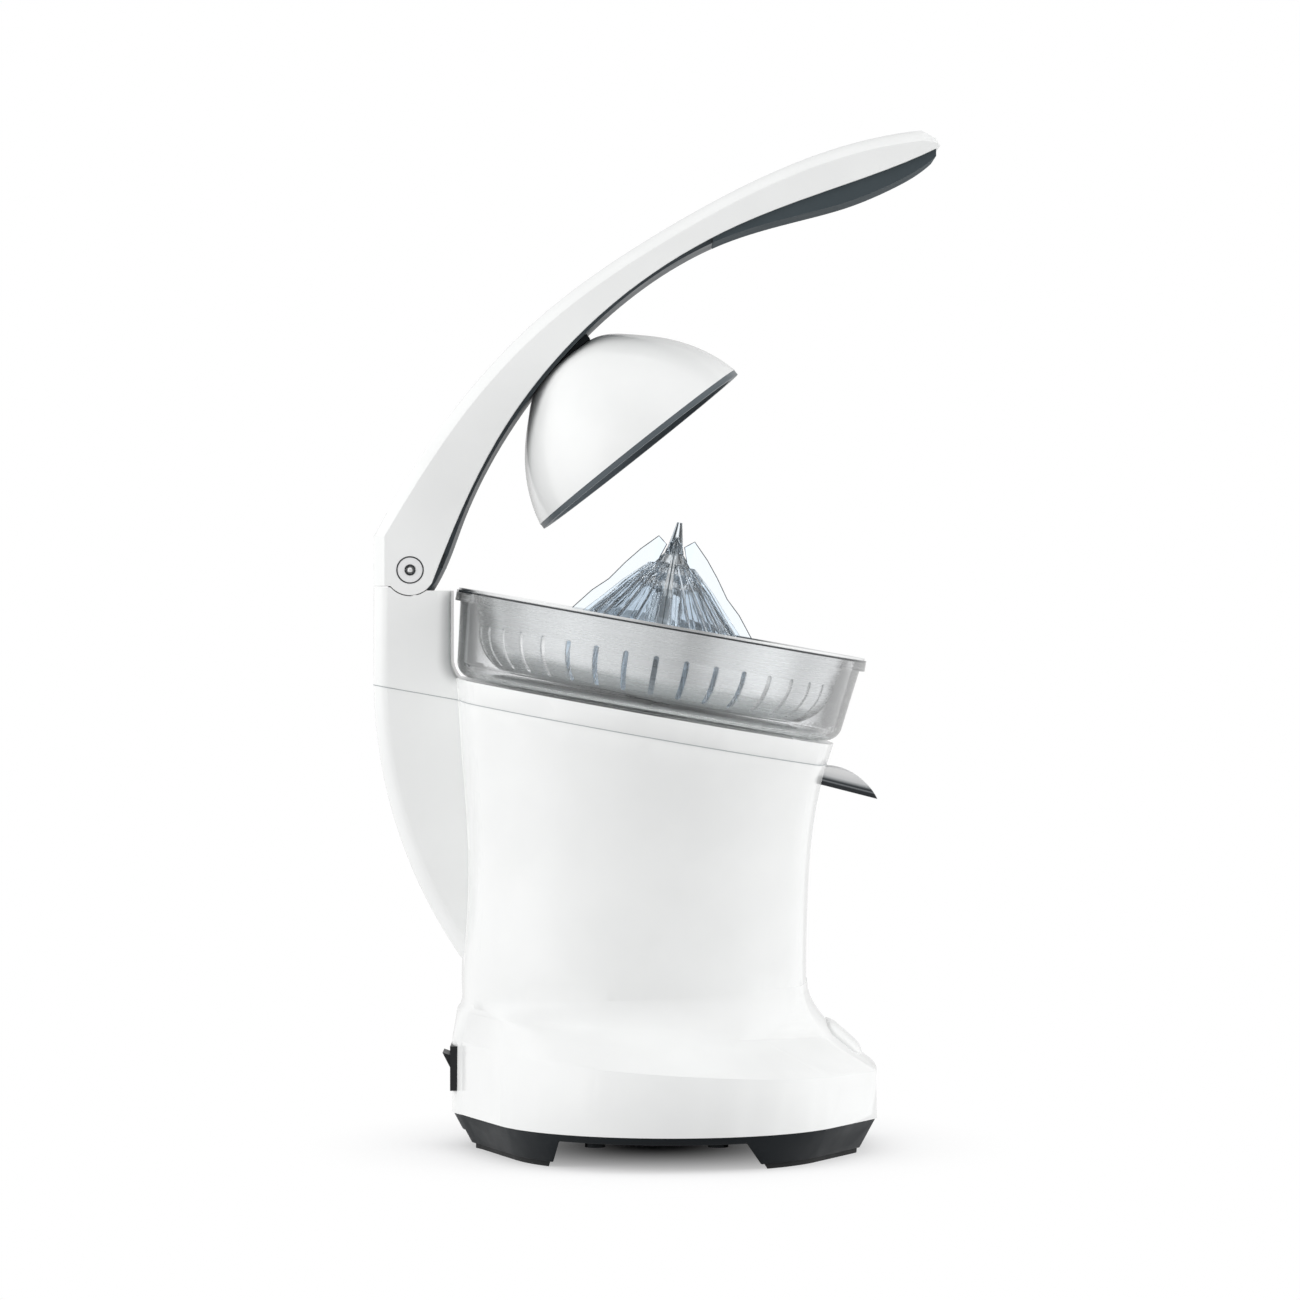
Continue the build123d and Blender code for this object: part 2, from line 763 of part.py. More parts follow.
def radius_at(points, height):
    """Radius of a rising line of points at one height."""
    for (low_r, low_h), (high_r, high_h) in zip(points, points[1:]):
        if low_h <= height <= high_h:
            return low_r + (high_r - low_r) * (height - low_h) / (high_h - low_h)
    return points[-1][0]


def blade(outline, thickness, turn):
    """Thin upright blade through the axis, on one side of it."""
    face = make_face(Plane.XZ * Polyline(*outline, close=True))
    return Rot(0, 0, turn) * extrude(face, thickness / 2, both=True)


def build_reamer_cone():
    skin = reamer_points(rib_depth)
    root = reamer_points(rib_depth + reamer_wall)
    hollow = [point for point in root if point[1] < hub_top]
    spike_root = skin[-1][1]
    outline = skin[:-1] + [
        (reamer_points(0)[-1][0], spike_root),
        (spike_radius, reamer_spike),
        (0, reamer_spike),
        (0, -hub_foot),
        (hub_radius, -hub_foot),
        (hub_radius, hub_top),
        (radius_at(root, hub_top), hub_top),
    ] + hollow[::-1]
    cone = turned(outline)
    cone -= extrude(
        Plane(origin=(0, 0, -hub_foot - overrun)) * RegularPolygon(hex_radius + shaft_play, 6),
        hub_foot + overrun + hub_bore_top,
    )
    seat = reamer_points(rib_depth + rib_root)
    rib = reamer_points(0)[:-1] + seat[:-1][::-1]
    blades = [blade(rib, rib_thickness, 360 * (index + 1 / 2) / rib_count) for index in range(rib_count)]
    fin_line = [(fin_radius * r, fin_height * h) for r, h in fin_outline_shares]
    fin = fin_line + [(seat[-2][0], seat[-2][1])] + seat[1:-2][::-1]
    blades += [blade(fin, fin_thickness, 360 * index / fin_count) for index in range(fin_count)]
    return leaning(cone + blades)


def gear_levels():
    """Heights below the rim plane: output gear top, idler gear top, motor plate top."""
    output_top = -boss_drop - plate_thickness - gear_gap
    idler_top = output_top - gear_width - gear_gap
    plate_top = idler_top - gear_width - gear_gap
    return output_top, idler_top, plate_top


def idler_place():
    span = gear_module * (output_teeth + pinion_teeth) / 2
    turn = math.radians(idler_bearing_degrees)
    return span * math.cos(turn), span * math.sin(turn)


def motor_place():
    x, y = idler_place()
    span = gear_module * (idler_teeth + pinion_teeth) / 2
    turn = math.radians(motor_bearing_degrees)
    return x + span * math.cos(turn), y + span * math.sin(turn)


def tooth_half_angle(teeth, radius):
    """Half the angle of a tooth at a radius, in radians."""
    pitch = gear_module * teeth / 2
    base = pitch * math.cos(math.radians(pressure_degrees))
    at_pitch = math.acos(base / pitch)
    at_radius = math.acos(min(1.0, base / radius))
    spread = math.tan(at_pitch) - at_pitch - math.tan(at_radius) + at_radius
    return math.pi / (2 * teeth) - backlash / (2 * pitch) + spread


def spur_gear(teeth, turn_degrees):
    """Involute gear of the common width, its first tooth at a turn, foot at zero height."""
    pitch = gear_module * teeth / 2
    tip = pitch + gear_module * tip_share
    root = pitch - gear_module * root_share
    base = pitch * math.cos(math.radians(pressure_degrees))
    flank = (max(base, root), pitch, tip)
    points = []
    for index in range(teeth):
        middle = math.radians(turn_degrees) + 2 * math.pi * index / teeth
        left = [(radius, -tooth_half_angle(teeth, radius)) for radius in flank]
        if base > root:
            left.insert(0, (root, left[0][1]))
        right = [(radius, -angle) for radius, angle in reversed(left)]
        for radius, angle in left + right:
            points.append((radius * math.cos(middle + angle), radius * math.sin(middle + angle)))
    return extrude(make_face(Polyline(*points, close=True)), gear_width)


def meshing_turn(first_teeth, first_turn, second_teeth, bearing):
    """Turn of the second gear that puts a gap on the first gear's tooth, both in degrees."""
    pitch = 360 / first_teeth
    offset = (first_turn - bearing) % pitch
    return bearing + 180 - offset * first_teeth / second_teeth - 180 / second_teeth


def build_output_gear():
    output_top = gear_levels()[0]
    gear = Pos(0, 0, output_top - gear_width) * spur_gear(output_teeth, 0)
    return leaning(gear - rod(shaft_radius, output_top - gear_width - overrun, output_top + overrun))


def build_idler_gear():
    output_top, idler_top, plate_top = gear_levels()
    small_turn = meshing_turn(output_teeth, 0, pinion_teeth, idler_bearing_degrees)
    low = idler_top - gear_width
    gear = Pos(0, 0, low) * spur_gear(idler_teeth, small_turn)
    gear += Pos(0, 0, output_top - gear_width) * spur_gear(pinion_teeth, small_turn)
    gear += rod(gear_module * pinion_teeth / 2 - gear_module * root_share, low, output_top)
    gear -= rod(idler_pin_radius + shaft_play, low - overrun, output_top + overrun)
    return leaning(Pos(*idler_place(), 0) * gear)


def build_motor_pinion():
    idler_top = gear_levels()[1]
    small_turn = meshing_turn(output_teeth, 0, pinion_teeth, idler_bearing_degrees)
    turn = meshing_turn(idler_teeth, small_turn, pinion_teeth, motor_bearing_degrees)
    low = idler_top - gear_width
    gear = Pos(0, 0, low) * spur_gear(pinion_teeth, turn)
    gear -= rod(motor_shaft_radius, low - overrun, idler_top + overrun)
    return leaning(Pos(*motor_place(), 0) * gear)


def post_places():
    return [
        (post_circle * math.cos(math.radians(turn)), post_circle * math.sin(math.radians(turn)))
        for turn in post_degrees
    ]


def build_gear_plate():
    low = -boss_drop - plate_thickness
    plate = rod(plate_radius, low, -boss_drop)
    plate -= rod(bush_flange, low - overrun, -boss_drop + overrun)
    plate -= rod(idler_pin_radius, low - overrun, -boss_drop + overrun, *idler_place())
    return leaning(plate)


def build_motor_plate():
    top = gear_levels()[2]
    low = top - plate_thickness
    plate = rod(plate_radius, low, top)
    plate -= rod(shaft_radius + shaft_play, low - overrun, top + overrun)
    plate -= rod(idler_pin_radius, low - overrun, top + overrun, *idler_place())
    plate -= rod(motor_shaft_radius + running_gap, low - overrun, top + overrun, *motor_place())
    return leaning(plate)


def build_gear_posts():
    top = -boss_drop - plate_thickness
    low = gear_levels()[2]
    return solid_group([leaning(rod(post_radius, low, top, x, y)) for x, y in post_places()])


def build_idler_pin():
    low = gear_levels()[2] - plate_thickness
    return leaning(rod(idler_pin_radius, low, -boss_drop, *idler_place()))


def motor_levels():
    top = gear_levels()[2] - plate_thickness
    return top - motor_length, top


def build_motor_can():
    low, top = motor_levels()
    x, y = motor_place()
    can = chamfer(rod(motor_radius, low, top).edges().filter_by(GeomType.CIRCLE), motor_edge)
    bore = rod(motor_shaft_radius + shaft_play, low + motor_edge, top + overrun)
    return leaning(Pos(x, y, 0) * (can - bore))


def build_motor_shaft():
    low = motor_levels()[0] + motor_edge + running_gap
    return leaning(rod(motor_shaft_radius, low, gear_levels()[1], *motor_place()))


def build_drive_shaft():
    low = gear_levels()[2] - plate_thickness
    round_part = rod(shaft_radius, low, -hub_foot - overrun)
    hex_part = extrude(
        Plane(origin=(0, 0, -hub_foot - overrun)) * RegularPolygon(hex_radius, 6),
        hub_foot + overrun + hub_bore_top - running_gap,
    )
    return leaning(round_part + hex_part)


def build_shaft_bush():
    bush = rod(bush_radius, -boss_drop, -deck_drop)
    bush += rod(bush_flange, -deck_drop - bush_flange_height, -deck_drop)
    return leaning(bush - rod(shaft_radius + shaft_play, -boss_drop - overrun, -deck_drop + overrun))


def build_shaft_seal():
    seal = rod(seal_radius, -deck_drop, -deck_drop + seal_height)
    bore = rod(shaft_radius + shaft_play, -deck_drop - overrun, -deck_drop + seal_height + overrun)
    return leaning(seal - bore)


def arm_point(share):
    """Place in side view from shares of the arm's reach and rise."""
    return hinge_x + arm_reach * share[0], hinge_z + arm_rise * share[1]


def polar_point(radius, degrees):
    """Place in side view at a radius and bearing from the hinge."""
    turn = math.radians(degrees)
    return hinge_x + radius * math.cos(turn), hinge_z + radius * math.sin(turn)


def set_in(points, depth):
    """Points moved square to their line, towards its right-hand side."""
    moved = []
    for index, (x, z) in enumerate(points):
        before = points[max(index - 1, 0)]
        after = points[min(index + 1, len(points) - 1)]
        run, rise = after[0] - before[0], after[1] - before[1]
        length = math.hypot(run, rise)
        moved.append((x + depth * rise / length, z - depth * run / length))
    return moved


def under_line():
    """Line between the white arm and the dark strip, from the nose to the hinge."""
    points = [arm_point(arm_nose_shares[-1])]
    points += [arm_point(share) for share in arm_under_shares]
    points.append(polar_point(knuckle_radius, knuckle_front_degrees))
    return points


def arm_section(y, depth):
    """Side view of the arm at one distance from its middle, its top set in by a depth."""
    heel_x = hinge_x - column_back + depth
    heel = (heel_x, hinge_z - heel_drop)
    elbow = (heel_x, hinge_z + heel_rise)
    top = [(hinge_x - column_back, hinge_z + heel_rise)] + [arm_point(share) for share in arm_top_shares]
    top = [elbow] + set_in(top, depth)[1:]
    nose = [arm_point(share) for share in arm_nose_shares]
    nose_start = (nose[0][0], nose[0][1] - depth / 2)
    knuckle_back = -180 + math.degrees(math.asin(heel_drop / knuckle_radius))
    edges = [
        Line(heel, elbow),
        Spline(*top),
        Line(top[-1], nose_start),
        Line(nose_start, nose[1]),
        Line(nose[1], nose[2]),
        Spline(*under_line()),
        ThreePointArc(
            polar_point(knuckle_radius, knuckle_front_degrees),
            polar_point(knuckle_radius, -90),
            polar_point(knuckle_radius, knuckle_back),
        ),
        Line(polar_point(knuckle_radius, knuckle_back), heel),
    ]
    return Plane(origin=(0, y, 0), x_dir=(1, 0, 0), z_dir=(0, -1, 0)) * make_face(edges)


def build_arm_shell():
    flat_half = arm_half_width - arm_bevel_width
    arm = loft([arm_section(-arm_half_width, arm_bevel), arm_section(-flat_half, 0)], ruled=True)
    arm += loft([arm_section(-flat_half, 0), arm_section(flat_half, 0)], ruled=True)
    arm += loft([arm_section(flat_half, 0), arm_section(arm_half_width, arm_bevel)], ruled=True)
    slot_half = tongue_half_width + washer_thickness + running_gap
    arm -= cross_rod(knuckle_radius + running_gap / 2, slot_half, hinge_x, hinge_z)
    arm -= block(
        (hinge_x - neck_back - running_gap, hinge_x),
        (-slot_half, slot_half),
        (hinge_z - neck_depth, hinge_z),
    )
    arm -= cross_rod(pin_radius, arm_half_width + overrun, hinge_x, hinge_z)
    for side in (-1, 1):
        seat_foot = arm_half_width - bolt_head_depth
        seat = cross_rod(bolt_head_radius + bolt_ring, arm_half_width + overrun, hinge_x, hinge_z, seat_foot)
        arm -= seat if side == 1 else mirror(seat, Plane.XZ)
    return arm - dome_room()


def trim_band(half_width):
    """Dark strip under the whole arm, from the hinge to the nose."""
    outer = [polar_point(trim_start_radius, trim_start_degrees)]
    outer.append((hinge_x + trim_bend_x, hinge_z + trim_bend_z))
    outer += [arm_point(share) for share in trim_outer_shares]
    inner = under_line()
    middle_degrees = (knuckle_front_degrees + trim_start_degrees) / 2
    tip = polar_point(knuckle_radius, trim_start_degrees)
    edges = [
        Spline(*inner),
        ThreePointArc(inner[-1], polar_point(knuckle_radius, middle_degrees), tip),
        Line(tip, outer[0]),
        Spline(*outer),
        Line(outer[-1], inner[0]),
    ]
    return extrude(Plane.XZ * make_face(edges), half_width, both=True)


def station_plane(share, gap=0):
    """Upright plane across the arm at a share of its reach."""
    return Plane(origin=(hinge_x + arm_reach * share + gap, 0, 0), z_dir=(1, 0, 0))


def build_hinge_cover():
    return split(trim_band(trim_half_width), bisect_by=station_plane(cover_share), keep=Keep.BOTTOM)


def build_arm_trim():
    strip = split(trim_band(trim_half_width), bisect_by=station_plane(cover_share, seat_gap), keep=Keep.TOP)
    strip = split(strip, bisect_by=station_plane(grip_share), keep=Keep.BOTTOM)
    return strip - dome_room()


def build_grip_pad():
    return split(trim_band(grip_half_width), bisect_by=station_plane(grip_share, seat_gap), keep=Keep.TOP)


def build_hinge_pin():
    return cross_rod(pin_radius, arm_half_width - bolt_head_depth, hinge_x, hinge_z)


def build_hinge_bolts():
    start = arm_half_width - bolt_head_depth
    head = cross_rod(bolt_head_radius, arm_half_width, hinge_x, hinge_z, start)
    socket_plane = Plane(origin=(hinge_x, arm_half_width, hinge_z), z_dir=(0, -1, 0))
    socket = socket_plane * RegularPolygon(bolt_socket_radius, 6)
    head -= extrude(socket, bolt_socket_depth)
    return solid_group([head, mirror(head, Plane.XZ)])


def build_hinge_washers():
    outer_side = tongue_half_width + washer_thickness
    ring = cross_rod(washer_radius, outer_side, hinge_x, hinge_z, tongue_half_width)
    ring -= cross_rod(pin_radius + shaft_play, arm_half_width, hinge_x, hinge_z)
    return solid_group([ring, mirror(ring, Plane.XZ)])


def dome_frame():
    """Frame on the dome axis: origin in the rim plane, local Z towards the arm."""
    turn = -math.atan(dome_tilt_share * arm_rise / arm_reach)
    top_x = hinge_x + arm_reach * dome_top_share[0]
    top_z = hinge_z + arm_rise * dome_top_share[1]
    return Plane(
        origin=(top_x - dome_height * math.sin(turn), 0, top_z - dome_height * math.cos(turn)),
        x_dir=(math.cos(turn), 0, -math.sin(turn)),
        z_dir=(math.sin(turn), 0, math.cos(turn)),
    )


def dome_cap(inset):
    """Solid dome with a flat top, set in all round by an inset."""
    height = dome_height - inset
    radius = dome_radius - inset
    line = [(radius * r, height * h) for r, h in dome_outline_shares]
    line.append((dome_top_radius, height))
    edges = [
        Line((0, 0), line[0]),
        Spline(*line),
        Line(line[-1], (0, height)),
        Line((0, height), (0, 0)),
    ]
    return revolve(Plane.XZ * make_face(edges), Axis.Z)


def dome_room():
    """Space for the top of the dome where it nestles into the arm."""
    return dome_frame().location * dome_cap(-2 * seat_gap)


def dome_screw_hole(shape):
    return shape - rod(dome_screw_radius, -overrun, dome_height + bracket_height)


def build_dome_shell():
    shell = dome_cap(0) - dome_cap(dome_wall)
    return dome_frame().location * dome_screw_hole(shell)


def build_dome_liner():
    gap = dome_wall + seat_gap
    liner = dome_cap(gap) - dome_cap(gap + liner_wall)
    liner += rod(dome_radius - seat_gap, -liner_lip, 0) - rod(dome_radius - gap - liner_wall, -liner_lip, 0)
    return dome_frame().location * dome_screw_hole(liner)


def build_dome_bracket():
    wedge = block(
        (-bracket_half_length, bracket_half_length),
        (-bracket_half_width, bracket_half_width),
        (dome_height, dome_height + bracket_height),
    )
    wedge -= rod(dome_screw_radius, -overrun, dome_height + bracket_height)
    wedge = dome_frame().location * wedge
    clear = dome_frame().z_dir * (-2 * seat_gap)
    wedge -= Pos(clear.X, clear.Y, clear.Z) * trim_band(arm_half_width)
    wedge -= trim_band(arm_half_width)
    wedge -= arm_solid()
    return max(wedge.solids(), key=lambda piece: piece.volume)


def arm_solid():
    """The arm without its hinge cuts, for trimming what lies against it."""
    return loft([arm_section(-arm_half_width, 0), arm_section(arm_half_width, 0)], ruled=True)


def build_dome_screw():
    inside = dome_height - dome_wall - seat_gap - liner_wall
    head = rod(dome_screw_head_radius, inside - dome_screw_head, inside)
    shank = rod(dome_screw_radius, inside - dome_screw_head, dome_height)
    return dome_frame().location * (head + shank)


builders = {
    "motor_housing": build_motor_housing,
    "upper_deck": build_upper_deck,
    "base_plate": build_base_plate,
    "rubber_feet": build_rubber_feet,
    "base_screws": build_base_screws,
    "cord_grommet": build_cord_grommet,
    "switch_bezel": build_switch_bezel,
    "power_rocker": build_power_rocker,
    "spout": build_spout,
    "juice_bowl": build_juice_bowl,
    "filter_basket": build_filter_basket,
    "reamer_cone": build_reamer_cone,
    "shaft_bush": build_shaft_bush,
    "shaft_seal": build_shaft_seal,
    "drive_shaft": build_drive_shaft,
    "output_gear": build_output_gear,
    "idler_gear": build_idler_gear,
    "idler_pin": build_idler_pin,
    "motor_pinion": build_motor_pinion,
    "motor_shaft": build_motor_shaft,
    "motor_can": build_motor_can,
    "gear_plate": build_gear_plate,
    "motor_plate": build_motor_plate,
    "gear_posts": build_gear_posts,
    "hinge_pin": build_hinge_pin,
    "hinge_bolts": build_hinge_bolts,
    "hinge_washers": build_hinge_washers,
    "arm_shell": build_arm_shell,
    "arm_trim": build_arm_trim,
    "hinge_cover": build_hinge_cover,
    "grip_pad": build_grip_pad,
    "dome_shell": build_dome_shell,
    "dome_liner": build_dome_liner,
    "dome_bracket": build_dome_bracket,
    "dome_screw": build_dome_screw,
}

os.makedirs("parts", exist_ok=True)
for node, build in builders.items():
    export_step(build(), os.path.join("parts", node + ".step"))
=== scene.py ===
# %% [markdown]
# # A white lever citrus press
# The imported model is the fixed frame: every piece of it already has its shape and its place, in metres.
# This lesson gives each piece the finish of the real one, adds a few small fittings, and sets up a plain studio.

# %% Load the frame
import bpy
import bmesh
import math
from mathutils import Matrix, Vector


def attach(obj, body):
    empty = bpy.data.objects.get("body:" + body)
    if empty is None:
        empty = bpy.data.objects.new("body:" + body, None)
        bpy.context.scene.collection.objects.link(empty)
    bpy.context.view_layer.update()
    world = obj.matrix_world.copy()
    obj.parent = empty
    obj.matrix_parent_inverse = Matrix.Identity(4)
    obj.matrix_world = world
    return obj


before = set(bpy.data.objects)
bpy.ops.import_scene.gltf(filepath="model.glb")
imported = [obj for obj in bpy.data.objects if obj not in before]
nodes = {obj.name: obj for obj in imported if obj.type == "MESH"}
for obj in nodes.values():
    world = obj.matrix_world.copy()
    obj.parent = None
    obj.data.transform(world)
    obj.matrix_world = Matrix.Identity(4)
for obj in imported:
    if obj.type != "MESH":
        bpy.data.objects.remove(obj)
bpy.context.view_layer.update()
print("nodes loaded:", len(nodes))

# %% [markdown]
# ## A few small tools
# Colours are written as sRGB hex values, the way a paint chart gives them, but shaders work in linear light.
# One function turns the one into the other.
# A shader is a chain of nodes, so one more function adds a node, sets it, and links what goes into it.
# The others turn millimetres into a texture's scale, start a finish, feed its shader, and fill a colour ramp.

# %% Colour and node helpers
noise_span = {"From Min": 0.3, "From Max": 0.7}  # most of a noise lies between these two values


def linear(hex_text):
    """Linear RGBA of an sRGB hex colour."""
    channels = [int(hex_text[i:i + 2], 16) / 255 for i in (1, 3, 5)]
    return tuple(c / 12.92 if c <= 0.04045 else ((c + 0.055) / 1.055) ** 2.4 for c in channels) + (1.0,)


def add_node(tree, kind, inputs=None, **settings):
    """Add a node; inputs gives sockets a value or the socket that feeds them."""
    node = tree.nodes.new(kind)
    for name, value in settings.items():
        setattr(node, name, value)
    for socket, value in (inputs or {}).items():
        if isinstance(value, bpy.types.NodeSocket):
            tree.links.new(value, node.inputs[socket])
        else:
            node.inputs[socket].default_value = value
    return node


def per_mm(size_mm):
    """Texture scale that makes one cell about size_mm wide, in a model measured in metres."""
    return 1000.0 / size_mm


def new_finish(name, **constants):
    """A material with one Principled shader; constants are set on its own sockets."""
    material = bpy.data.materials.new(name)
    material.use_nodes = True
    tree = material.node_tree
    shader = tree.nodes["Principled BSDF"]
    for socket, value in constants.items():
        shader.inputs[socket.replace("_", " ")].default_value = value
    return material, tree, shader


def feed(tree, shader, sources):
    """Link an output to each named socket of a shader."""
    for socket, source in sources.items():
        tree.links.new(source, shader.inputs[socket])


def set_stops(ramp, stops):
    """Fill a colour ramp, which starts with two stops, from pairs of a place and a linear colour."""
    for index, (place, colour) in enumerate(stops):
        stop = ramp.elements[index] if index < 2 else ramp.elements.new(place)
        stop.position = place
        stop.color = colour


print("white reads as", [round(c, 3) for c in linear("#f1f2f1")])

# %% [markdown]
# ## White ABS, polished
# The housing, deck, arm and dome are moulded in white ABS in a polished tool.
# That gives a bright mirror-like skin with a faint waviness, the orange peel that every moulding has.
# A wide soft noise bends the reflections a little, and a second one varies the gloss where hands touch it.

# %% White gloss plastic
peel_mm = 9.0
peel_depth_mm = 0.03
touch_mm = 28.0


def make_white_abs():
    material, tree, shader = new_finish("abs_white_polished", IOR=1.53)
    place = add_node(tree, "ShaderNodeTexCoord")
    wave = add_node(tree, "ShaderNodeTexNoise", {
        "Vector": place.outputs["Object"], "Scale": per_mm(peel_mm), "Detail": 1.0})
    touch = add_node(tree, "ShaderNodeTexNoise", {
        "Vector": place.outputs["Object"], "Scale": per_mm(touch_mm), "Detail": 3.0})
    tone = add_node(tree, "ShaderNodeValToRGB", {"Fac": touch.outputs["Fac"]})
    set_stops(tone.color_ramp, ((0.35, linear("#f3f4f3")), (0.65, linear("#f6f7f6"))))
    gloss = add_node(tree, "ShaderNodeMapRange", {
        "Value": touch.outputs["Fac"], **noise_span, "To Min": 0.10, "To Max": 0.16})
    peel = add_node(tree, "ShaderNodeBump", {
        "Height": wave.outputs["Fac"], "Strength": 0.25, "Distance": peel_depth_mm / 1000})
    feed(tree, shader, {"Base Color": tone.outputs["Color"], "Roughness": gloss.outputs["Result"],
                        "Normal": peel.outputs["Normal"]})
    return material


# A clean white with sharp, slightly wavy reflections.
white_abs = make_white_abs()
print("made", white_abs.name)

# %% [markdown]
# ## Moulded plastics and rubber
# The strip under the arm, the dome's liner and the base plate are dark ABS from a spark-eroded, grained tool.
# The grain is about 0.3 mm across, finer than the render can show, so it is drawn at 0.8 mm.
# Grain gives the eye a soft, broad sheen in place of a mirror.
# The grip, the feet, the switch and the painted bolt caps differ in colour, grain, roughness and shine alone,
# so one function makes them all.

# %% Grained plastics
wear_mm = 14.0


def make_moulded(name, dark, light, grain_mm, rough_low, rough_high, depth_mm, shine=0.28):
    material, tree, shader = new_finish(name, IOR=1.53, Specular_IOR_Level=shine)
    place = add_node(tree, "ShaderNodeTexCoord")
    grain = add_node(tree, "ShaderNodeTexNoise", {
        "Vector": place.outputs["Object"], "Scale": per_mm(grain_mm), "Detail": 2.0, "Roughness": 0.6})
    wear = add_node(tree, "ShaderNodeTexNoise", {
        "Vector": place.outputs["Object"], "Scale": per_mm(wear_mm), "Detail": 4.0})
    tone = add_node(tree, "ShaderNodeMix", {
        "Factor": wear.outputs["Fac"], "A": linear(dark), "B": linear(light)}, data_type="RGBA")
    gloss = add_node(tree, "ShaderNodeMapRange", {
        "Value": wear.outputs["Fac"], **noise_span, "To Min": rough_low, "To Max": rough_high})
    bump = add_node(tree, "ShaderNodeBump", {
        "Height": grain.outputs["Fac"], "Strength": 0.35, "Distance": depth_mm / 1000})
    feed(tree, shader, {"Base Color": tone.outputs["Result"], "Roughness": gloss.outputs["Result"],
                        "Normal": bump.outputs["Normal"]})
    return material


# Dark grey with a dull satin sheen, so that the strip reads as the shadow side of the arm.
dark_abs = make_moulded("abs_dark_grained", "#3c4246", "#474d51", 0.8, 0.34, 0.46, 0.05, 0.12)
# Almost black and rougher, so that the base sinks into its own shadow.
base_abs = make_moulded("abs_base_grained", "#171a1d", "#1e2225", 0.9, 0.44, 0.56, 0.05, 0.12)
# A middle grey with more sheen, which shows as a grey edge round the mouth of the dome.
liner_abs = make_moulded("abs_liner_grained", "#565e63", "#61696e", 0.8, 0.34, 0.46, 0.05)
# Smooth stove enamel, nearly the white of the arm.
bolt_cap = make_moulded("enamel_bolt_cap", "#e9eaea", "#f3f3f3", 1.2, 0.22, 0.32, 0.01)
# Matt rubbery grey with hardly a highlight.
soft_grip = make_moulded("tpe_soft_grip", "#424a4e", "#4c5458", 0.6, 0.60, 0.72, 0.06, 0.04)
# Dead black with a coarse skin.
foot_rubber = make_moulded("rubber_moulded_black", "#161718", "#202122", 1.0, 0.60, 0.75, 0.10)
# Black with a small soft highlight on the rocker's bend.
switch_black = make_moulded("nylon_switch_black", "#17181a", "#1f2123", 0.7, 0.30, 0.42, 0.03)
print("made", dark_abs.name, base_abs.name, liner_abs.name, bolt_cap.name)
print("made", soft_grip.name, foot_rubber.name, switch_black.name)

# %% [markdown]
# ## The leaning axis
# Bowl, strainer and reamer share one axis, which leans forward by ten degrees and meets the rim in its middle.
# The brush marks, the fins and several fine lines are all worked out on it, so its directions are set once.

# %% Axis of the bowl
lean = math.radians(10.0)
rim_middle = Vector((0.0023, 0.0, 0.2124))
bowl_axis = Vector((math.sin(lean), 0.0, math.cos(lean)))
forward = Vector((math.cos(lean), 0.0, -math.sin(lean)))
sideways = Vector((0.0, 1.0, 0.0))
print("bowl axis:", [round(v, 3) for v in bowl_axis])

# %% [markdown]
# ## Brushed stainless steel
# The strainer is spun from stainless sheet and brushed round its axis while it turns.
# The marks run round the leaning axis, so the pattern is drawn over the angle round it and the height along it.
# Each scratch is about 0.15 mm wide and too fine to show, so they are drawn 0.5 mm wide and some 60 mm long.
# Brushing spreads a reflection across the marks, here upwards and downwards, so the anisotropy is turned
# by a quarter.

# %% Brushed steel
scratch_mm = 0.5
scratches_per_radian = 1.4


def around_axis(tree):
    """Sockets for the angle round the bowl axis and the height along it."""
    place = add_node(tree, "ShaderNodeTexCoord")
    upright = add_node(tree, "ShaderNodeVectorRotate", {
        "Vector": place.outputs["Object"], "Center": rim_middle, "Angle": -lean}, rotation_type="Y_AXIS")
    shift = add_node(tree, "ShaderNodeVectorMath", {
        0: upright.outputs["Vector"], 1: rim_middle}, operation="SUBTRACT")
    parts = add_node(tree, "ShaderNodeSeparateXYZ", {"Vector": shift.outputs["Vector"]})
    angle = add_node(tree, "ShaderNodeMath", {
        0: parts.outputs["Y"], 1: parts.outputs["X"]}, operation="ARCTAN2")
    return angle.outputs["Value"], parts.outputs["Z"]


def make_brushed_steel():
    material, tree, shader = new_finish(
        "stainless_brushed", Metallic=1.0, Anisotropic=0.7, Anisotropic_Rotation=0.25)
    angle, height = around_axis(tree)
    lines = add_node(tree, "ShaderNodeCombineXYZ", {"X": angle, "Z": height})
    stretch = add_node(tree, "ShaderNodeMapping", {
        "Vector": lines.outputs["Vector"], "Scale": (scratches_per_radian, 1.0, per_mm(scratch_mm))})
    scratch = add_node(tree, "ShaderNodeTexNoise", {
        "Vector": stretch.outputs["Vector"], "Scale": 1.0, "Detail": 3.0, "Roughness": 0.65})
    tone = add_node(tree, "ShaderNodeMix", {
        "Factor": scratch.outputs["Fac"], "A": linear("#d8dada"), "B": linear("#fbfbfb")}, data_type="RGBA")
    gloss = add_node(tree, "ShaderNodeMapRange", {
        "Value": scratch.outputs["Fac"], **noise_span, "To Min": 0.22, "To Max": 0.34})
    bump = add_node(tree, "ShaderNodeBump", {
        "Height": scratch.outputs["Fac"], "Strength": 0.2, "Distance": 0.03 / 1000})
    around = add_node(tree, "ShaderNodeTangent", direction_type="RADIAL", axis="Z")
    feed(tree, shader, {"Base Color": tone.outputs["Result"], "Roughness": gloss.outputs["Result"],
                        "Normal": bump.outputs["Normal"], "Tangent": around.outputs["Tangent"]})
    return material


# Bright metal with fine lines round it and reflections drawn out into upright bands.
brushed_steel = make_brushed_steel()
print("made", brushed_steel.name)

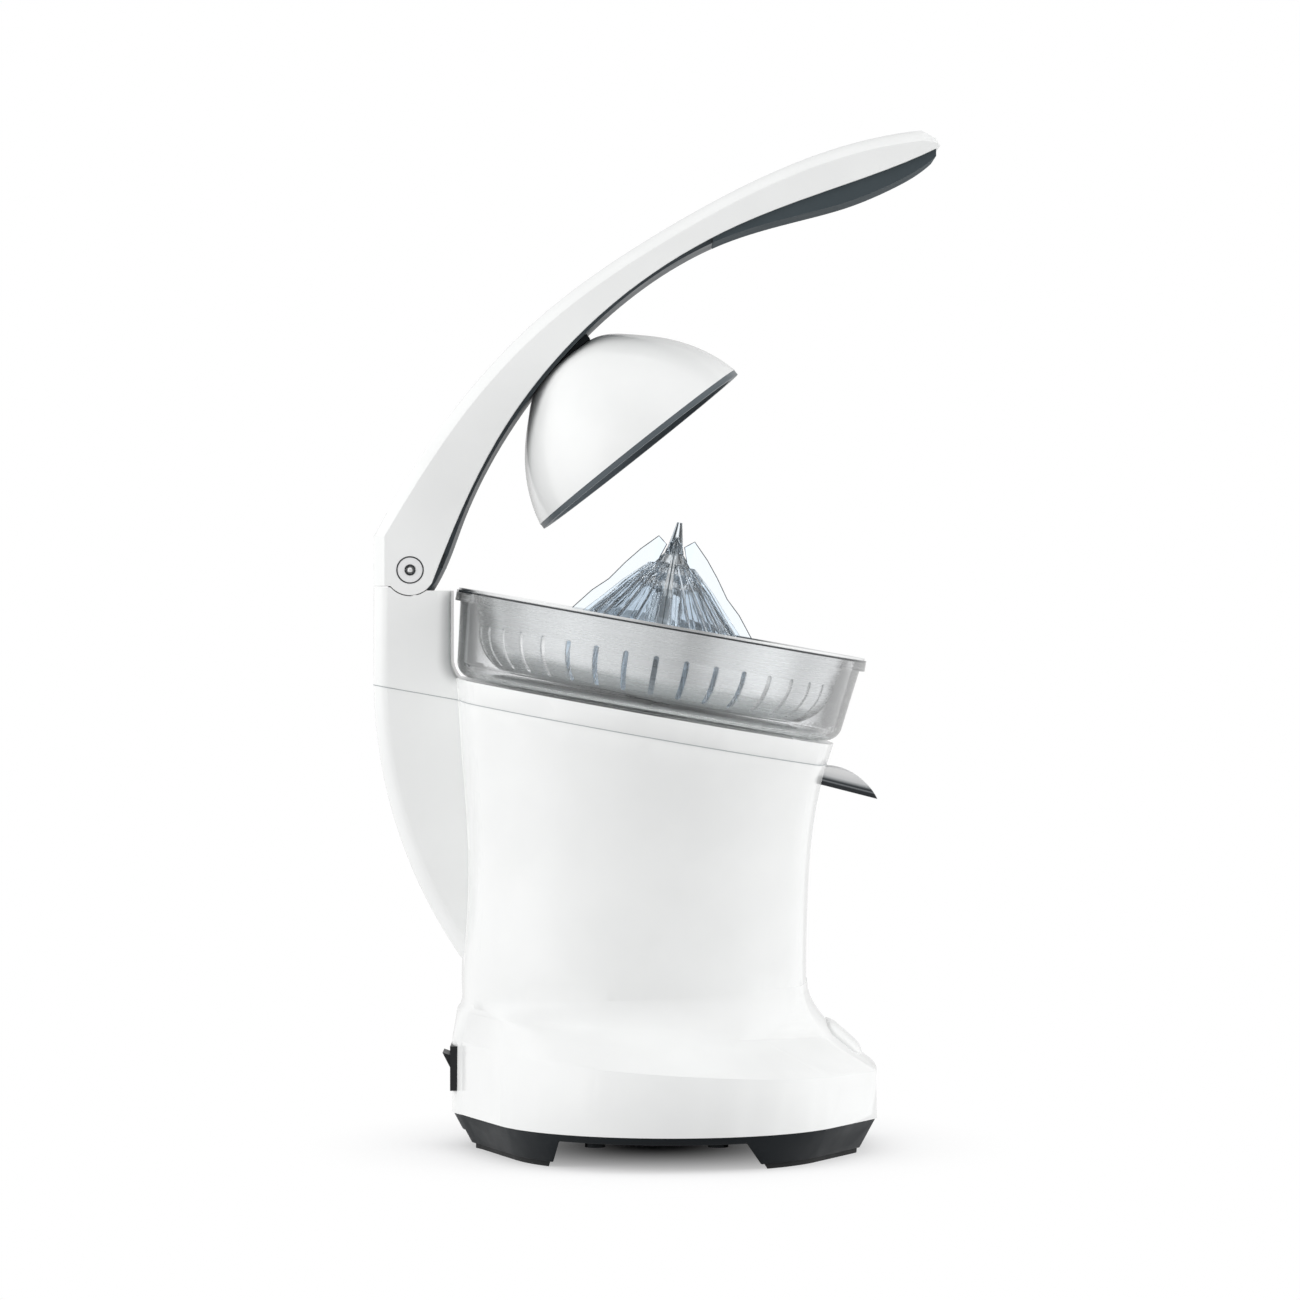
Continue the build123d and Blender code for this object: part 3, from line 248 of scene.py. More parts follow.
# %% [markdown]
# ## Turned steel, zinc and black oxide
# Shafts, pins and posts are turned steel, the hidden plates and the motor are zinc-plated sheet,
# and the screws under the base are blackened.
# All three are metals, so they keep the default IOR and differ in colour, roughness and grain.

# %% Plain metals
def make_metal(name, dark, light, grain_mm, rough_low, rough_high, depth_mm):
    material, tree, shader = new_finish(name, Metallic=1.0)
    place = add_node(tree, "ShaderNodeTexCoord")
    grain = add_node(tree, "ShaderNodeTexNoise", {
        "Vector": place.outputs["Object"], "Scale": per_mm(grain_mm), "Detail": 3.0})
    tone = add_node(tree, "ShaderNodeMix", {
        "Factor": grain.outputs["Fac"], "A": linear(dark), "B": linear(light)}, data_type="RGBA")
    gloss = add_node(tree, "ShaderNodeMapRange", {
        "Value": grain.outputs["Fac"], **noise_span, "To Min": rough_low, "To Max": rough_high})
    bump = add_node(tree, "ShaderNodeBump", {
        "Height": grain.outputs["Fac"], "Strength": 0.2, "Distance": depth_mm / 1000})
    feed(tree, shader, {"Base Color": tone.outputs["Result"], "Roughness": gloss.outputs["Result"],
                        "Normal": bump.outputs["Normal"]})
    return material


# A pale satin metal, with a fine grain in place of the tool's rings.
turned_steel = make_metal("steel_turned", "#d3d4d5", "#e4e5e5", 1.2, 0.42, 0.55, 0.02)
# Greyer, with the cloudy spangle of a zinc coat.
zinc_plate = make_metal("steel_zinc_plated", "#9fa4a8", "#bcc1c4", 5.0, 0.30, 0.45, 0.02)
# Oiled black with a dull metal glint.
black_screw = make_metal("steel_black_oxide", "#1b1c1e", "#26282a", 1.5, 0.35, 0.50, 0.02)
print("made", turned_steel.name, zinc_plate.name, black_screw.name)

# %% [markdown]
# ## Polished spout
# The spout is pressed from thin sheet and polished, and its side walls are rolled in towards the bottom.
# Such a wall mirrors the bright room in its upper half and the dark foot of the press in its lower half.
# The walls of the model are flat, so that reflection is painted: the height above the floor of the spout picks
# a bright or dark painted tone instead. Only the side walls take the painted reflection, found by their normals:
# the trough stays bright.

# %% Spout steel
spout_neck = Vector((0.069, 0.0, 0.1465))
spout_up = Vector((0.247, 0.0, 0.969))
spout_wall = 0.0077
spout_cloud_mm = 12.0
spout_painted_reflection_tones = (
    (0.00, "#2a2e31"), (0.20, "#303437"), (0.26, "#85898c"), (0.32, "#33373a"), (0.38, "#4c5053"),
    (0.46, "#a6a9ab"), (0.56, "#e0e1e2"), (0.80, "#f6f6f6"), (1.00, "#fbfbfb"),
)


def make_spout_steel():
    material, tree, shader = new_finish("stainless_polished_painted_reflection", Metallic=0.3)
    place = add_node(tree, "ShaderNodeTexCoord")
    above = add_node(tree, "ShaderNodeVectorMath", {
        0: place.outputs["Object"], 1: spout_neck}, operation="SUBTRACT")
    height = add_node(tree, "ShaderNodeVectorMath", {
        0: above.outputs["Vector"], 1: spout_up}, operation="DOT_PRODUCT")
    level = add_node(tree, "ShaderNodeMapRange", {"Value": height.outputs["Value"], "From Max": spout_wall})
    # Painted reflection: tones by height stand in for the room mirrored in a rolled wall.
    painted_reflection = add_node(tree, "ShaderNodeValToRGB", {"Fac": level.outputs["Result"]})
    set_stops(painted_reflection.color_ramp, [(at, linear(shade)) for at, shade in spout_painted_reflection_tones])
    facing = add_node(tree, "ShaderNodeSeparateXYZ", {"Vector": place.outputs["Normal"]})
    on_side = add_node(tree, "ShaderNodeMath", {0: facing.outputs["Y"]}, operation="ABSOLUTE")
    tone = add_node(tree, "ShaderNodeMix", {
        "Factor": on_side.outputs["Value"], "A": linear("#d4d6d7"), "B": painted_reflection.outputs["Color"]},
        data_type="RGBA")
    cloud = add_node(tree, "ShaderNodeTexNoise", {
        "Vector": place.outputs["Object"], "Scale": per_mm(spout_cloud_mm), "Detail": 2.0})
    gloss = add_node(tree, "ShaderNodeMapRange", {
        "Value": cloud.outputs["Fac"], **noise_span, "To Min": 0.10, "To Max": 0.16})
    feed(tree, shader, {"Base Color": tone.outputs["Result"], "Roughness": gloss.outputs["Result"]})
    return material


# A painted reflection, bright above and dark below: the two bands by which the eye knows polished sheet.
bright_steel = make_spout_steel()
print("made", bright_steel.name)

# %% [markdown]
# ## Clear plastic
# The bowl is clear styrene plastic and the reamer a clear copolymer with a cold blue cast.
# Both are injection moulded with polished walls, so light passes through and bends at each rib.
# A very faint waviness keeps the walls from looking like a computer's perfect glass.
# Thin walls let part of the light through unbent, so a share of plain transparency is mixed in,
# and the soft light that fills the deck under the bowl passes straight through.
# The reamer's four fins are its thinnest walls: the bearing round the axis finds them and raises the share there.
# The reamer has many walls in a row, and a renderer follows only so many. Where the reamer stands clear of the
# strainer, light that has passed a few of them goes straight on, which keeps the ribs from filling with black.

# %% Clear bowl and reamer
clear_ior = 1.5
fin_count = 4
fin_cosine = (0.90, 0.95)
fin_share = 0.6
walls_followed = 3.5
deep_foot = -0.006


def share_on_fins(tree, offset, straight_share):
    """The straight share of the reamer: larger on its fins, found by their bearing round the axis."""
    ahead = add_node(tree, "ShaderNodeVectorMath", {0: offset, 1: forward}, operation="DOT_PRODUCT")
    aside = add_node(tree, "ShaderNodeSeparateXYZ", {"Vector": offset})
    bearing = add_node(tree, "ShaderNodeMath", {
        0: aside.outputs["Y"], 1: ahead.outputs["Value"]}, operation="ARCTAN2")
    turns = add_node(tree, "ShaderNodeMath", {
        0: bearing.outputs["Value"], 1: fin_count}, operation="MULTIPLY")
    swing = add_node(tree, "ShaderNodeMath", {0: turns.outputs["Value"]}, operation="COSINE")
    thin = add_node(tree, "ShaderNodeMapRange", {
        "Value": swing.outputs["Value"], "From Min": fin_cosine[0], "From Max": fin_cosine[1],
        "To Min": straight_share, "To Max": fin_share})
    return thin.outputs["Result"]


def straight_when_deep(tree, offset, path, surface):
    """Let light that has passed several walls go straight on, where the reamer stands clear of the strainer."""
    depth = add_node(tree, "ShaderNodeMath", {
        0: path.outputs["Transmission Depth"], 1: path.outputs["Transparent Depth"]}, operation="ADD")
    many = add_node(tree, "ShaderNodeMath", {
        0: depth.outputs["Value"], 1: walls_followed}, operation="GREATER_THAN")
    rise = add_node(tree, "ShaderNodeVectorMath", {0: offset, 1: bowl_axis}, operation="DOT_PRODUCT")
    open_air = add_node(tree, "ShaderNodeMath", {
        0: rise.outputs["Value"], 1: deep_foot}, operation="GREATER_THAN")
    deep = add_node(tree, "ShaderNodeMath", {
        0: many.outputs["Value"], 1: open_air.outputs["Value"]}, operation="MULTIPLY")
    onward = add_node(tree, "ShaderNodeBsdfTransparent", {"Color": linear("#ffffff")})
    return add_node(tree, "ShaderNodeMixShader", {
        "Fac": deep.outputs["Value"], 1: surface.outputs["Shader"], 2: onward.outputs["BSDF"]})


def make_clear(name, colour, rough_low, rough_high, wave_mm, straight_share, finned=False):
    material, tree, shader = new_finish(
        name, IOR=clear_ior, Transmission_Weight=1.0, Base_Color=linear(colour))
    place = add_node(tree, "ShaderNodeTexCoord")
    wave = add_node(tree, "ShaderNodeTexNoise", {
        "Vector": place.outputs["Object"], "Scale": per_mm(wave_mm), "Detail": 1.0})
    haze = add_node(tree, "ShaderNodeMapRange", {
        "Value": wave.outputs["Fac"], **noise_span, "To Min": rough_low, "To Max": rough_high})
    bump = add_node(tree, "ShaderNodeBump", {
        "Height": wave.outputs["Fac"], "Strength": 0.2, "Distance": 0.02 / 1000})
    feed(tree, shader, {"Roughness": haze.outputs["Result"], "Normal": bump.outputs["Normal"]})
    straight = add_node(tree, "ShaderNodeBsdfTransparent", {"Color": linear("#f9fafa")})
    path = add_node(tree, "ShaderNodeLightPath")
    soft = add_node(tree, "ShaderNodeMath", {
        0: path.outputs["Is Shadow Ray"], 1: path.outputs["Is Diffuse Ray"]}, operation="MAXIMUM")
    share = straight_share
    if finned:
        from_rim = add_node(tree, "ShaderNodeVectorMath", {
            0: place.outputs["Object"], 1: rim_middle}, operation="SUBTRACT")
        share = share_on_fins(tree, from_rim.outputs["Vector"], straight_share)
    passed = add_node(tree, "ShaderNodeMath", {0: soft.outputs["Value"], 1: share}, operation="MAXIMUM")
    surface = add_node(tree, "ShaderNodeMixShader", {
        "Fac": passed.outputs["Value"], 1: shader.outputs["BSDF"], 2: straight.outputs["BSDF"]})
    if finned:
        surface = straight_when_deep(tree, from_rim.outputs["Vector"], path, surface)
    tree.links.new(surface.outputs["Shader"], tree.nodes["Material Output"].inputs["Surface"])
    return material


# Almost colourless, with dark and light edges where its walls bend the room.
clear_bowl = make_clear("san_clear_moulded", "#f9fafb", 0.01, 0.03, 11.0, 0.05)
# A cold blue that deepens from rib to rib, with nearly invisible fins.
clear_reamer = make_clear("copolymer_clear_blue", "#e6f0f9", 0.0, 0.01, 7.0, 0.08, finned=True)
print("made", clear_bowl.name, clear_reamer.name)

# %% [markdown]
# ## Acetal gears
# The gears and bushes inside are acetal, a waxy white plastic that runs without grease.
# It is cloudy, so a little light goes in and comes out again, which softens its edges.

# %% Waxy gear plastic
acetal_cloud_mm = 6.0


def make_acetal():
    material, tree, shader = new_finish(
        "acetal_natural", IOR=1.48, Subsurface_Weight=0.15, Subsurface_Scale=1.0,
        Subsurface_Radius=(0.002, 0.002, 0.0018))
    place = add_node(tree, "ShaderNodeTexCoord")
    cloud = add_node(tree, "ShaderNodeTexNoise", {
        "Vector": place.outputs["Object"], "Scale": per_mm(acetal_cloud_mm), "Detail": 3.0})
    tone = add_node(tree, "ShaderNodeMix", {
        "Factor": cloud.outputs["Fac"], "A": linear("#dcd9cf"), "B": linear("#e9e7df")}, data_type="RGBA")
    gloss = add_node(tree, "ShaderNodeMapRange", {
        "Value": cloud.outputs["Fac"], **noise_span, "To Min": 0.36, "To Max": 0.48})
    feed(tree, shader, {"Base Color": tone.outputs["Result"], "Roughness": gloss.outputs["Result"]})
    return material


# A warm milky white with a soft edge.
acetal = make_acetal()
print("made", acetal.name)

# %% [markdown]
# ## Dress the pieces
# Each piece of the frame takes the finish of the real one.
# Moulded parts have no knife edges, so the larger ones get a bevel of a few tenths of a millimetre.
# It catches a thin line of light on each edge and opens the joint between housing and deck into a fine groove.

# %% Assign the finishes
finishes = {
    white_abs: ("motor_housing", "upper_deck", "arm_shell", "dome_shell"),
    dark_abs: ("arm_trim", "hinge_cover"),
    liner_abs: ("dome_liner",),
    base_abs: ("base_plate", "dome_bracket"),
    soft_grip: ("grip_pad",),
    foot_rubber: ("rubber_feet", "cord_grommet", "shaft_seal"),
    switch_black: ("switch_bezel", "power_rocker"),
    bright_steel: ("spout",),
    brushed_steel: ("filter_basket",),
    clear_bowl: ("juice_bowl",),
    clear_reamer: ("reamer_cone",),
    bolt_cap: ("hinge_bolts",),
    turned_steel: ("hinge_pin", "drive_shaft", "idler_pin", "motor_shaft", "motor_pinion",
                   "dome_screw", "gear_posts"),
    black_screw: ("base_screws",),
    zinc_plate: ("motor_can", "gear_plate", "motor_plate"),
    acetal: ("output_gear", "idler_gear", "shaft_bush", "hinge_washers"),
}
for finish, names in finishes.items():
    for name in names:
        nodes[name].data.materials.clear()
        nodes[name].data.materials.append(finish)

same_point = 0.000002
bevels = (  # piece, width in mm, least angle of an edge in degrees
    ("motor_housing", 0.35, 40), ("upper_deck", 0.35, 40), ("arm_shell", 0.3, 40),
    ("reamer_cone", 0.4, 35), ("base_plate", 0.4, 40), ("spout", 0.25, 40),
)
for name, width_mm, angle in bevels:
    weld = nodes[name].modifiers.new("join", "WELD")
    weld.merge_threshold = same_point
    bevel = nodes[name].modifiers.new("soft_edge", "BEVEL")
    bevel.width = width_mm / 1000
    bevel.segments = 2
    bevel.limit_method = "ANGLE"
    bevel.angle_limit = math.radians(angle)
    bevel.use_clamp_overlap = True
    bevel.harden_normals = True
dressed = sum(len(names) for names in finishes.values())
print("pieces dressed:", dressed, "of", len(nodes))

# %% [markdown]
# ## A plate on the front
# A small plain plate of the same white stands a little proud of the front shoulder of the base.
# The shoulder curves both ways, so the plate is laid on it: a ray is sent down to the housing for each point
# of the plate, and the point is lifted off again by the height of the plate at that place.
# The plate is a low cushion: thin at its edge, highest in the middle.

# %% Front plate
plate_middle = Vector((0.0766, 0.0, 0.0451))
plate_down = Vector((0.0118, 0.0, -0.0147)).normalized()
plate_across = sideways
plate_out = plate_across.cross(plate_down).normalized() * -1.0
plate_half_length = 0.0094
plate_half_width = 0.021
plate_edge = 0.0006
plate_crown = 0.0018
plate_squareness = 0.5
ray_start = 0.05


def link_mesh(name, mesh):
    """Turn an edit mesh into a smooth object of the scene."""
    bmesh.ops.recalc_face_normals(mesh, faces=mesh.faces)
    data = bpy.data.meshes.new(name)
    mesh.to_mesh(data)
    mesh.free()
    for polygon in data.polygons:
        polygon.use_smooth = True
    piece = bpy.data.objects.new(name, data)
    bpy.context.scene.collection.objects.link(piece)
    return piece


def on_housing(point):
    """Where a ray from outside meets the housing, along the plate's own normal."""
    housing = nodes["motor_housing"]
    into = housing.matrix_world.inverted()
    start = into @ (point + plate_out * ray_start)
    hit, place, _, _ = housing.ray_cast(start, into.to_3x3() @ (plate_out * -1.0))
    return housing.matrix_world @ place if hit else point


def squared(value):
    """Push a sine or cosine outwards, which makes a rounded rectangle of a circle."""
    return math.copysign(abs(value) ** plate_squareness, value)


def lay_plate(rings, steps):
    """A cushion of rings of points, laid on the housing and closed by a skirt that sinks into it."""
    mesh = bmesh.new()
    loops = []
    for ring in range(rings + 2):
        share = min(ring + 1, rings) / rings
        sunk = ring > rings - 1
        loop = []
        for step in range(steps):
            turn = 2 * math.pi * step / steps
            flat = (plate_middle + plate_across * (squared(math.cos(turn)) * share * plate_half_width)
                    + plate_down * (squared(math.sin(turn)) * share * plate_half_length))
            lift = plate_edge + plate_crown * (1 - share ** 4)
            loop.append(mesh.verts.new(on_housing(flat) + plate_out * (-plate_edge if sunk else lift)))
        loops.append(loop)
    crown = mesh.verts.new(on_housing(plate_middle) + plate_out * (plate_edge + plate_crown))
    for step in range(steps):
        following = (step + 1) % steps
        mesh.faces.new((crown, loops[0][step], loops[0][following]))
        for inner, outer in zip(loops, loops[1:]):
            mesh.faces.new((inner[step], outer[step], outer[following], inner[following]))
    return link_mesh("front_plate", mesh)


front_plate = lay_plate(rings=10, steps=72)
front_plate.data.materials.append(white_abs)
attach(front_plate, "stand")
print("front plate points:", len(front_plate.data.vertices))

# %% [markdown]
# ## Fine lines
# A thin line is often what tells the eye that two parts meet, or that a clear edge is round.
# The joint between deck and housing is a groove of two tenths of a millimetre, and the rounded edges of the
# reamer's fins bend the light so far that they look dark. Both are painted: the shadow in the groove and the dark
# edges of the fins are slim cords in grey and in dark grey.
# Both follow an outline of the frame: the mesh is cut by a plane, and a slim cord is laid along the longest cut.

# %% Cords along cut outlines
cord_sides = 6


def cut_outline(name, point, normal):
    """The longest closed outline that a plane cuts out of a node, as points in world space."""
    mesh = bmesh.new()
    mesh.from_mesh(nodes[name].data)
    mesh.transform(nodes[name].matrix_world)
    bmesh.ops.remove_doubles(mesh, verts=mesh.verts, dist=same_point)
    cut = bmesh.ops.bisect_plane(
        mesh, geom=mesh.verts[:] + mesh.edges[:] + mesh.faces[:], plane_co=point, plane_no=normal)
    edges = [item for item in cut["geom_cut"] if isinstance(item, bmesh.types.BMEdge)]
    links = {}
    for edge in edges:
        for here, there in (edge.verts, reversed(edge.verts)):
            links.setdefault(here, []).append(there)
    loops, seen = [], set()
    for start in links:
        if start in seen:
            continue
        loop, at, last = [], start, None
        while at is not None and at not in seen:
            seen.add(at)
            loop.append(at.co.copy())
            ways = [v for v in links[at] if v is not last and v not in seen]
            last, at = at, ways[0] if ways else None
        loops.append(loop)
    mesh.free()
    return max(loops, key=lambda loop: sum((a - b).length for a, b in zip(loop, loop[1:])))


def lay_cord(name, path, radius, finish, body, closed):
    """A slim cord with six sides along a path of points."""
    mesh = bmesh.new()
    rings = []
    for index, point in enumerate(path):
        before = path[index - 1] if closed or index else point
        after = path[(index + 1) % len(path)] if closed or index + 1 < len(path) else point
        along = (after - before).normalized()
        side = along.cross(Vector((0.0, 0.0, 1.0)))
        side = side.normalized() if side.length > 0.01 else Vector((0.0, 1.0, 0.0))
        up = side.cross(along).normalized()
        turns = [2 * math.pi * k / cord_sides for k in range(cord_sides)]
        rings.append([mesh.verts.new(point + radius * (side * math.cos(turn) + up * math.sin(turn)))
                      for turn in turns])
    pairs = list(zip(rings, rings[1:])) + ([(rings[-1], rings[0])] if closed else [])
    for ring, following in pairs:
        for k in range(cord_sides):
            beside = (k + 1) % cord_sides
            mesh.faces.new((ring[k], ring[beside], following[beside], following[k]))
    cord = link_mesh(name, mesh)
    cord.data.materials.append(finish)
    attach(cord, body)
    return cord


print("a cord has", cord_sides, "sides")

# %% [markdown]
# ## Seam and fin edges
# The seam runs round the housing just under the deck as a cord of painted shadow, in a grey a little darker
# than the white: a groove that narrow holds a soft shadow, not a black one.
# The fins stand in two planes through the axis. Each plane cuts one outline out of the reamer, and from its tip
# a dark cord, a painted dark edge, runs down either way until it reaches the strainer. The spike in the middle is
# left out.

# %% Seam and fins
line_radius = 0.0002
seam_drop = 0.0447
fin_foot = -0.004
spike_radius = 0.0030
# A pale grey painted shadow for the seam, and the painted dark edge of a clear fin.
# Painted shadow: the grey seam cord stands for the shade in the groove.
seam_painted_shadow = make_moulded("seam_shadow_grey", "#aeb3b5", "#b8bdbe", 3.0, 0.5, 0.6, 0.01)
# Painted dark edge: the dark fin cords stand for light that the round clear edge bends away.
fin_painted_edge = make_moulded("clear_edge_painted_dark", "#525b62", "#5f686f", 3.0, 0.10, 0.16, 0.01)
seam_path = cut_outline("motor_housing", rim_middle - bowl_axis * seam_drop, bowl_axis)
lay_cord("deck_seam", seam_path, line_radius, seam_painted_shadow, "stand", True)
fin_cords = []
for names, normal, across in ((("fin_edge_a", "fin_edge_b"), sideways, forward),
                              (("fin_edge_c", "fin_edge_d"), forward, sideways)):
    outline = cut_outline("reamer_cone", rim_middle, normal)
    heights = [(place - rim_middle).dot(bowl_axis) for place in outline]
    tip = heights.index(max(heights))
    for name, way in zip(names, (1, -1)):
        path = []
        for step in range(1, len(outline)):
            at = (tip + way * step) % len(outline)
            if heights[at] < fin_foot:
                break
            if abs((outline[at] - rim_middle).dot(across)) > spike_radius:
                path.append(outline[at])
        fin_cords.append(lay_cord(name, path, line_radius, fin_painted_edge, "drive", False))
fin_points = [len(cord.data.vertices) // cord_sides for cord in fin_cords]
print("seam points:", len(seam_path), "fin edge points:", fin_points)

# %% [markdown]
# ## Rings and marks
# A dark cord in the lip of the bowl is a painted dark edge where the clear rim bends the light away from the eye;
# it is no real part.
# Each hinge bolt gets a dark ring of painted shadow for the narrow gap round it, another for the edge of its
# small socket, and a pale pin in its middle. In front of the bolt, on the edge of the arm, a short dark mark of
# painted shadow stands for the slot in the hinge cover.
# All are cords again: circles for the rings, and two points for the slot.

# %% Circles and slots
def circle(middle, axis, radius, count):
    """Points of a circle round an axis."""
    side = axis.orthogonal().normalized()
    across = axis.cross(side).normalized()
    turns = [2 * math.pi * k / count for k in range(count)]
    return [middle + radius * (side * math.cos(turn) + across * math.sin(turn)) for turn in turns]


def world_points(name):
    """Corners of a node in world space."""
    return [nodes[name].matrix_world @ v.co for v in nodes[name].data.vertices]


# Deep grey, nearly black: painted shadow in the narrow gaps and the slot, and the painted dark edge in the bowl's
# lip.
painted_dark_line = make_moulded("line_painted_dark", "#25282b", "#2e3235", 2.0, 0.20, 0.30, 0.01)

# Painted dark edge: a black cord in the bowl's lip stands for the light that the clear rim bends away.
rim_line_inset = 0.0005
rim_line_radius = 0.0004
bowl_points = [point - rim_middle for point in world_points("juice_bowl")]
lip_high = max(v.dot(bowl_axis) for v in bowl_points)
lip_radius = max((v - bowl_axis * v.dot(bowl_axis)).length for v in bowl_points)
rim_path = circle(rim_middle + bowl_axis * (lip_high - rim_line_inset), bowl_axis, lip_radius - rim_line_inset, 160)
lay_cord("bowl_rim_painted_dark_edge", rim_path, rim_line_radius, painted_dark_line, "stand", True)

bolt_points = world_points("hinge_bolts")
bolt_face = max(v.y for v in bolt_points)
bolt_middle = (min(v.x for v in bolt_points) + max(v.x for v in bolt_points)) / 2
bolt_low, bolt_high = min(v.z for v in bolt_points), max(v.z for v in bolt_points)
bolt_height = (bolt_low + bolt_high) / 2
bolt_radius = (bolt_high - bolt_low) / 2
bolt_clearance = 0.00025
# The two dark rings are painted shadow in the gap and in the socket; the pin takes the white of the cap.
bolt_rings = (  # name, radius of the ring, radius of the cord, finish
    ("bolt_gap", bolt_radius + bolt_clearance, 0.0002, painted_dark_line),
    ("bolt_socket_edge", 0.0019, 0.0004, painted_dark_line),
    ("bolt_pin", 0.0005, 0.0006, bolt_cap),
)
flanks = ((-1, "_right"), (1, "_left"))
for side, ending in flanks:
    face = Vector((bolt_middle, side * bolt_face, bolt_height))
    for name, radius, thick, finish in bolt_rings:
        lay_cord(name + ending, circle(face, sideways, radius, 40), thick, finish, "arm", True)

# A short dark cord of painted shadow stands for the slot.
slot_out = 0.0174
slot_radius = 0.0006
slot_ends = ((-0.0855, 0.2403), (-0.0867, 0.2347))
for side, ending in flanks:
    slot_path = [Vector((x, side * slot_out, z)) for x, z in slot_ends]
    lay_cord("hinge_slot" + ending, slot_path, slot_radius, painted_dark_line, "arm", False)
print("lip radius mm:", round(1000 * lip_radius, 1), "bolt radius mm:", round(1000 * bolt_radius, 2))

# %% [markdown]
# ## Studio walls
# Shiny things show the room they stand in, so the room needs something to show.
# Each ramp below runs once round the room, starting behind the press, and gives the brightness of its walls.
# The first is for mirrored rays: wide white walls left and right, greyer behind the camera and behind the press.
# The second is for rays that pass clear plastic: its dark gaps beside the white backdrop draw the dark edges
# of the bowl, and its greyer part behind the camera draws the dark stripe down the steel inside it.
# The grey ceiling draws the lines along the rims.
# The camera itself sees plain white, and soft light comes evenly from all sides.

# %% World
room_stops = (
    (0.000, 0.60), (0.040, 0.64), (0.090, 0.85), (0.170, 0.85), (0.240, 0.95), (0.330, 1.00),
    (0.430, 0.70), (0.500, 0.40), (0.560, 0.40), (0.620, 0.75), (0.680, 1.00), (0.800, 1.00), (0.880, 0.85),
    (0.910, 0.85), (0.960, 0.64), (1.000, 0.60),
)
clear_stops = (
    (0.000, 1.00), (0.012, 1.00), (0.026, 0.05), (0.100, 0.07), (0.147, 0.20), (0.211, 0.62), (0.260, 0.85),
    (0.343, 0.92), (0.416, 0.78), (0.500, 0.64), (0.545, 0.48), (0.600, 0.76), (0.690, 1.00), (0.785, 0.72),
    (0.840, 0.90), (0.885, 0.80), (0.920, 0.10), (0.974, 0.05), (0.988, 1.00), (1.000, 1.00),
)
soft_light = (0.63, 0.63, 0.635, 1.0)
ceiling = (0.38, 0.38, 0.385, 1.0)
ceiling_from, ceiling_full = 0.35, 0.7
wall_gain = 1.2
plain_white = (1, 1, 1, 1)


def room_colour(tree, vector):
    """Colour of the room in the direction of a vector, chosen by the kind of ray that asks."""
    course = add_node(tree, "ShaderNodeSeparateXYZ", {"Vector": vector})
    to_front = add_node(tree, "ShaderNodeMath", {0: course.outputs["Y"], 1: -1.0}, operation="MULTIPLY")
    bearing = add_node(tree, "ShaderNodeMath", {
        0: course.outputs["X"], 1: to_front.outputs["Value"]}, operation="ARCTAN2")
    turn = add_node(tree, "ShaderNodeMapRange", {
        "Value": bearing.outputs["Value"], "From Min": -math.pi, "From Max": math.pi})
    rooms = []
    for stops in (room_stops, clear_stops):
        room = add_node(tree, "ShaderNodeValToRGB", {"Fac": turn.outputs["Result"]})
        room.color_ramp.interpolation = "EASE"
        set_stops(room.color_ramp, [(place, (shade, shade, shade, 1.0)) for place, shade in stops])
        rooms.append(room.outputs["Color"])
    path = add_node(tree, "ShaderNodeLightPath")
    walls = add_node(tree, "ShaderNodeMix", {
        "Factor": path.outputs["Is Transmission Ray"], "A": rooms[0], "B": rooms[1]}, data_type="RGBA")
    steep = add_node(tree, "ShaderNodeMapRange", {
        "Value": course.outputs["Z"], "From Min": ceiling_from, "From Max": ceiling_full},
        interpolation_type="SMOOTHSTEP")
    roofed = add_node(tree, "ShaderNodeMix", {
        "Factor": steep.outputs["Result"], "A": walls.outputs["Result"], "B": ceiling}, data_type="RGBA")
    bright = add_node(tree, "ShaderNodeVectorMath", {
        0: roofed.outputs["Result"], "Scale": wall_gain}, operation="SCALE")
    sharp = add_node(tree, "ShaderNodeMath", {
        0: path.outputs["Is Glossy Ray"], 1: path.outputs["Is Transmission Ray"]}, operation="MAXIMUM")
    lit = add_node(tree, "ShaderNodeMix", {
        "Factor": sharp.outputs["Value"], "A": soft_light, "B": bright.outputs["Vector"]}, data_type="RGBA")
    shown = add_node(tree, "ShaderNodeMix", {
        "Factor": path.outputs["Is Camera Ray"], "A": lit.outputs["Result"], "B": plain_white},
        data_type="RGBA")
    return shown.outputs["Result"]


world = bpy.data.worlds.new("studio")
bpy.context.scene.world = world
world.use_nodes = True
heading = add_node(world.node_tree, "ShaderNodeTexCoord")
backdrop = world.node_tree.nodes["Background"]
feed(world.node_tree, backdrop, {"Color": room_colour(world.node_tree, heading.outputs["Generated"])})
backdrop.inputs["Strength"].default_value = 1.0
print("stops round the room:", len(room_stops), "and", len(clear_stops))

# %% [markdown]
# ## Floor
# The press stands on flat white paper, and behind it the camera sees plain white with no visible horizon.
# Close to the press the paper is an ordinary matt surface, so it takes the soft contact shadow.
# Further out it fades into plain white for the camera, and for reflections into the same room as the walls.

# %% Floor
floor_half = 8
shadow_reach_x, shadow_reach_y = 0.16, 0.185
fade_from, fade_full = 0.05, 0.95


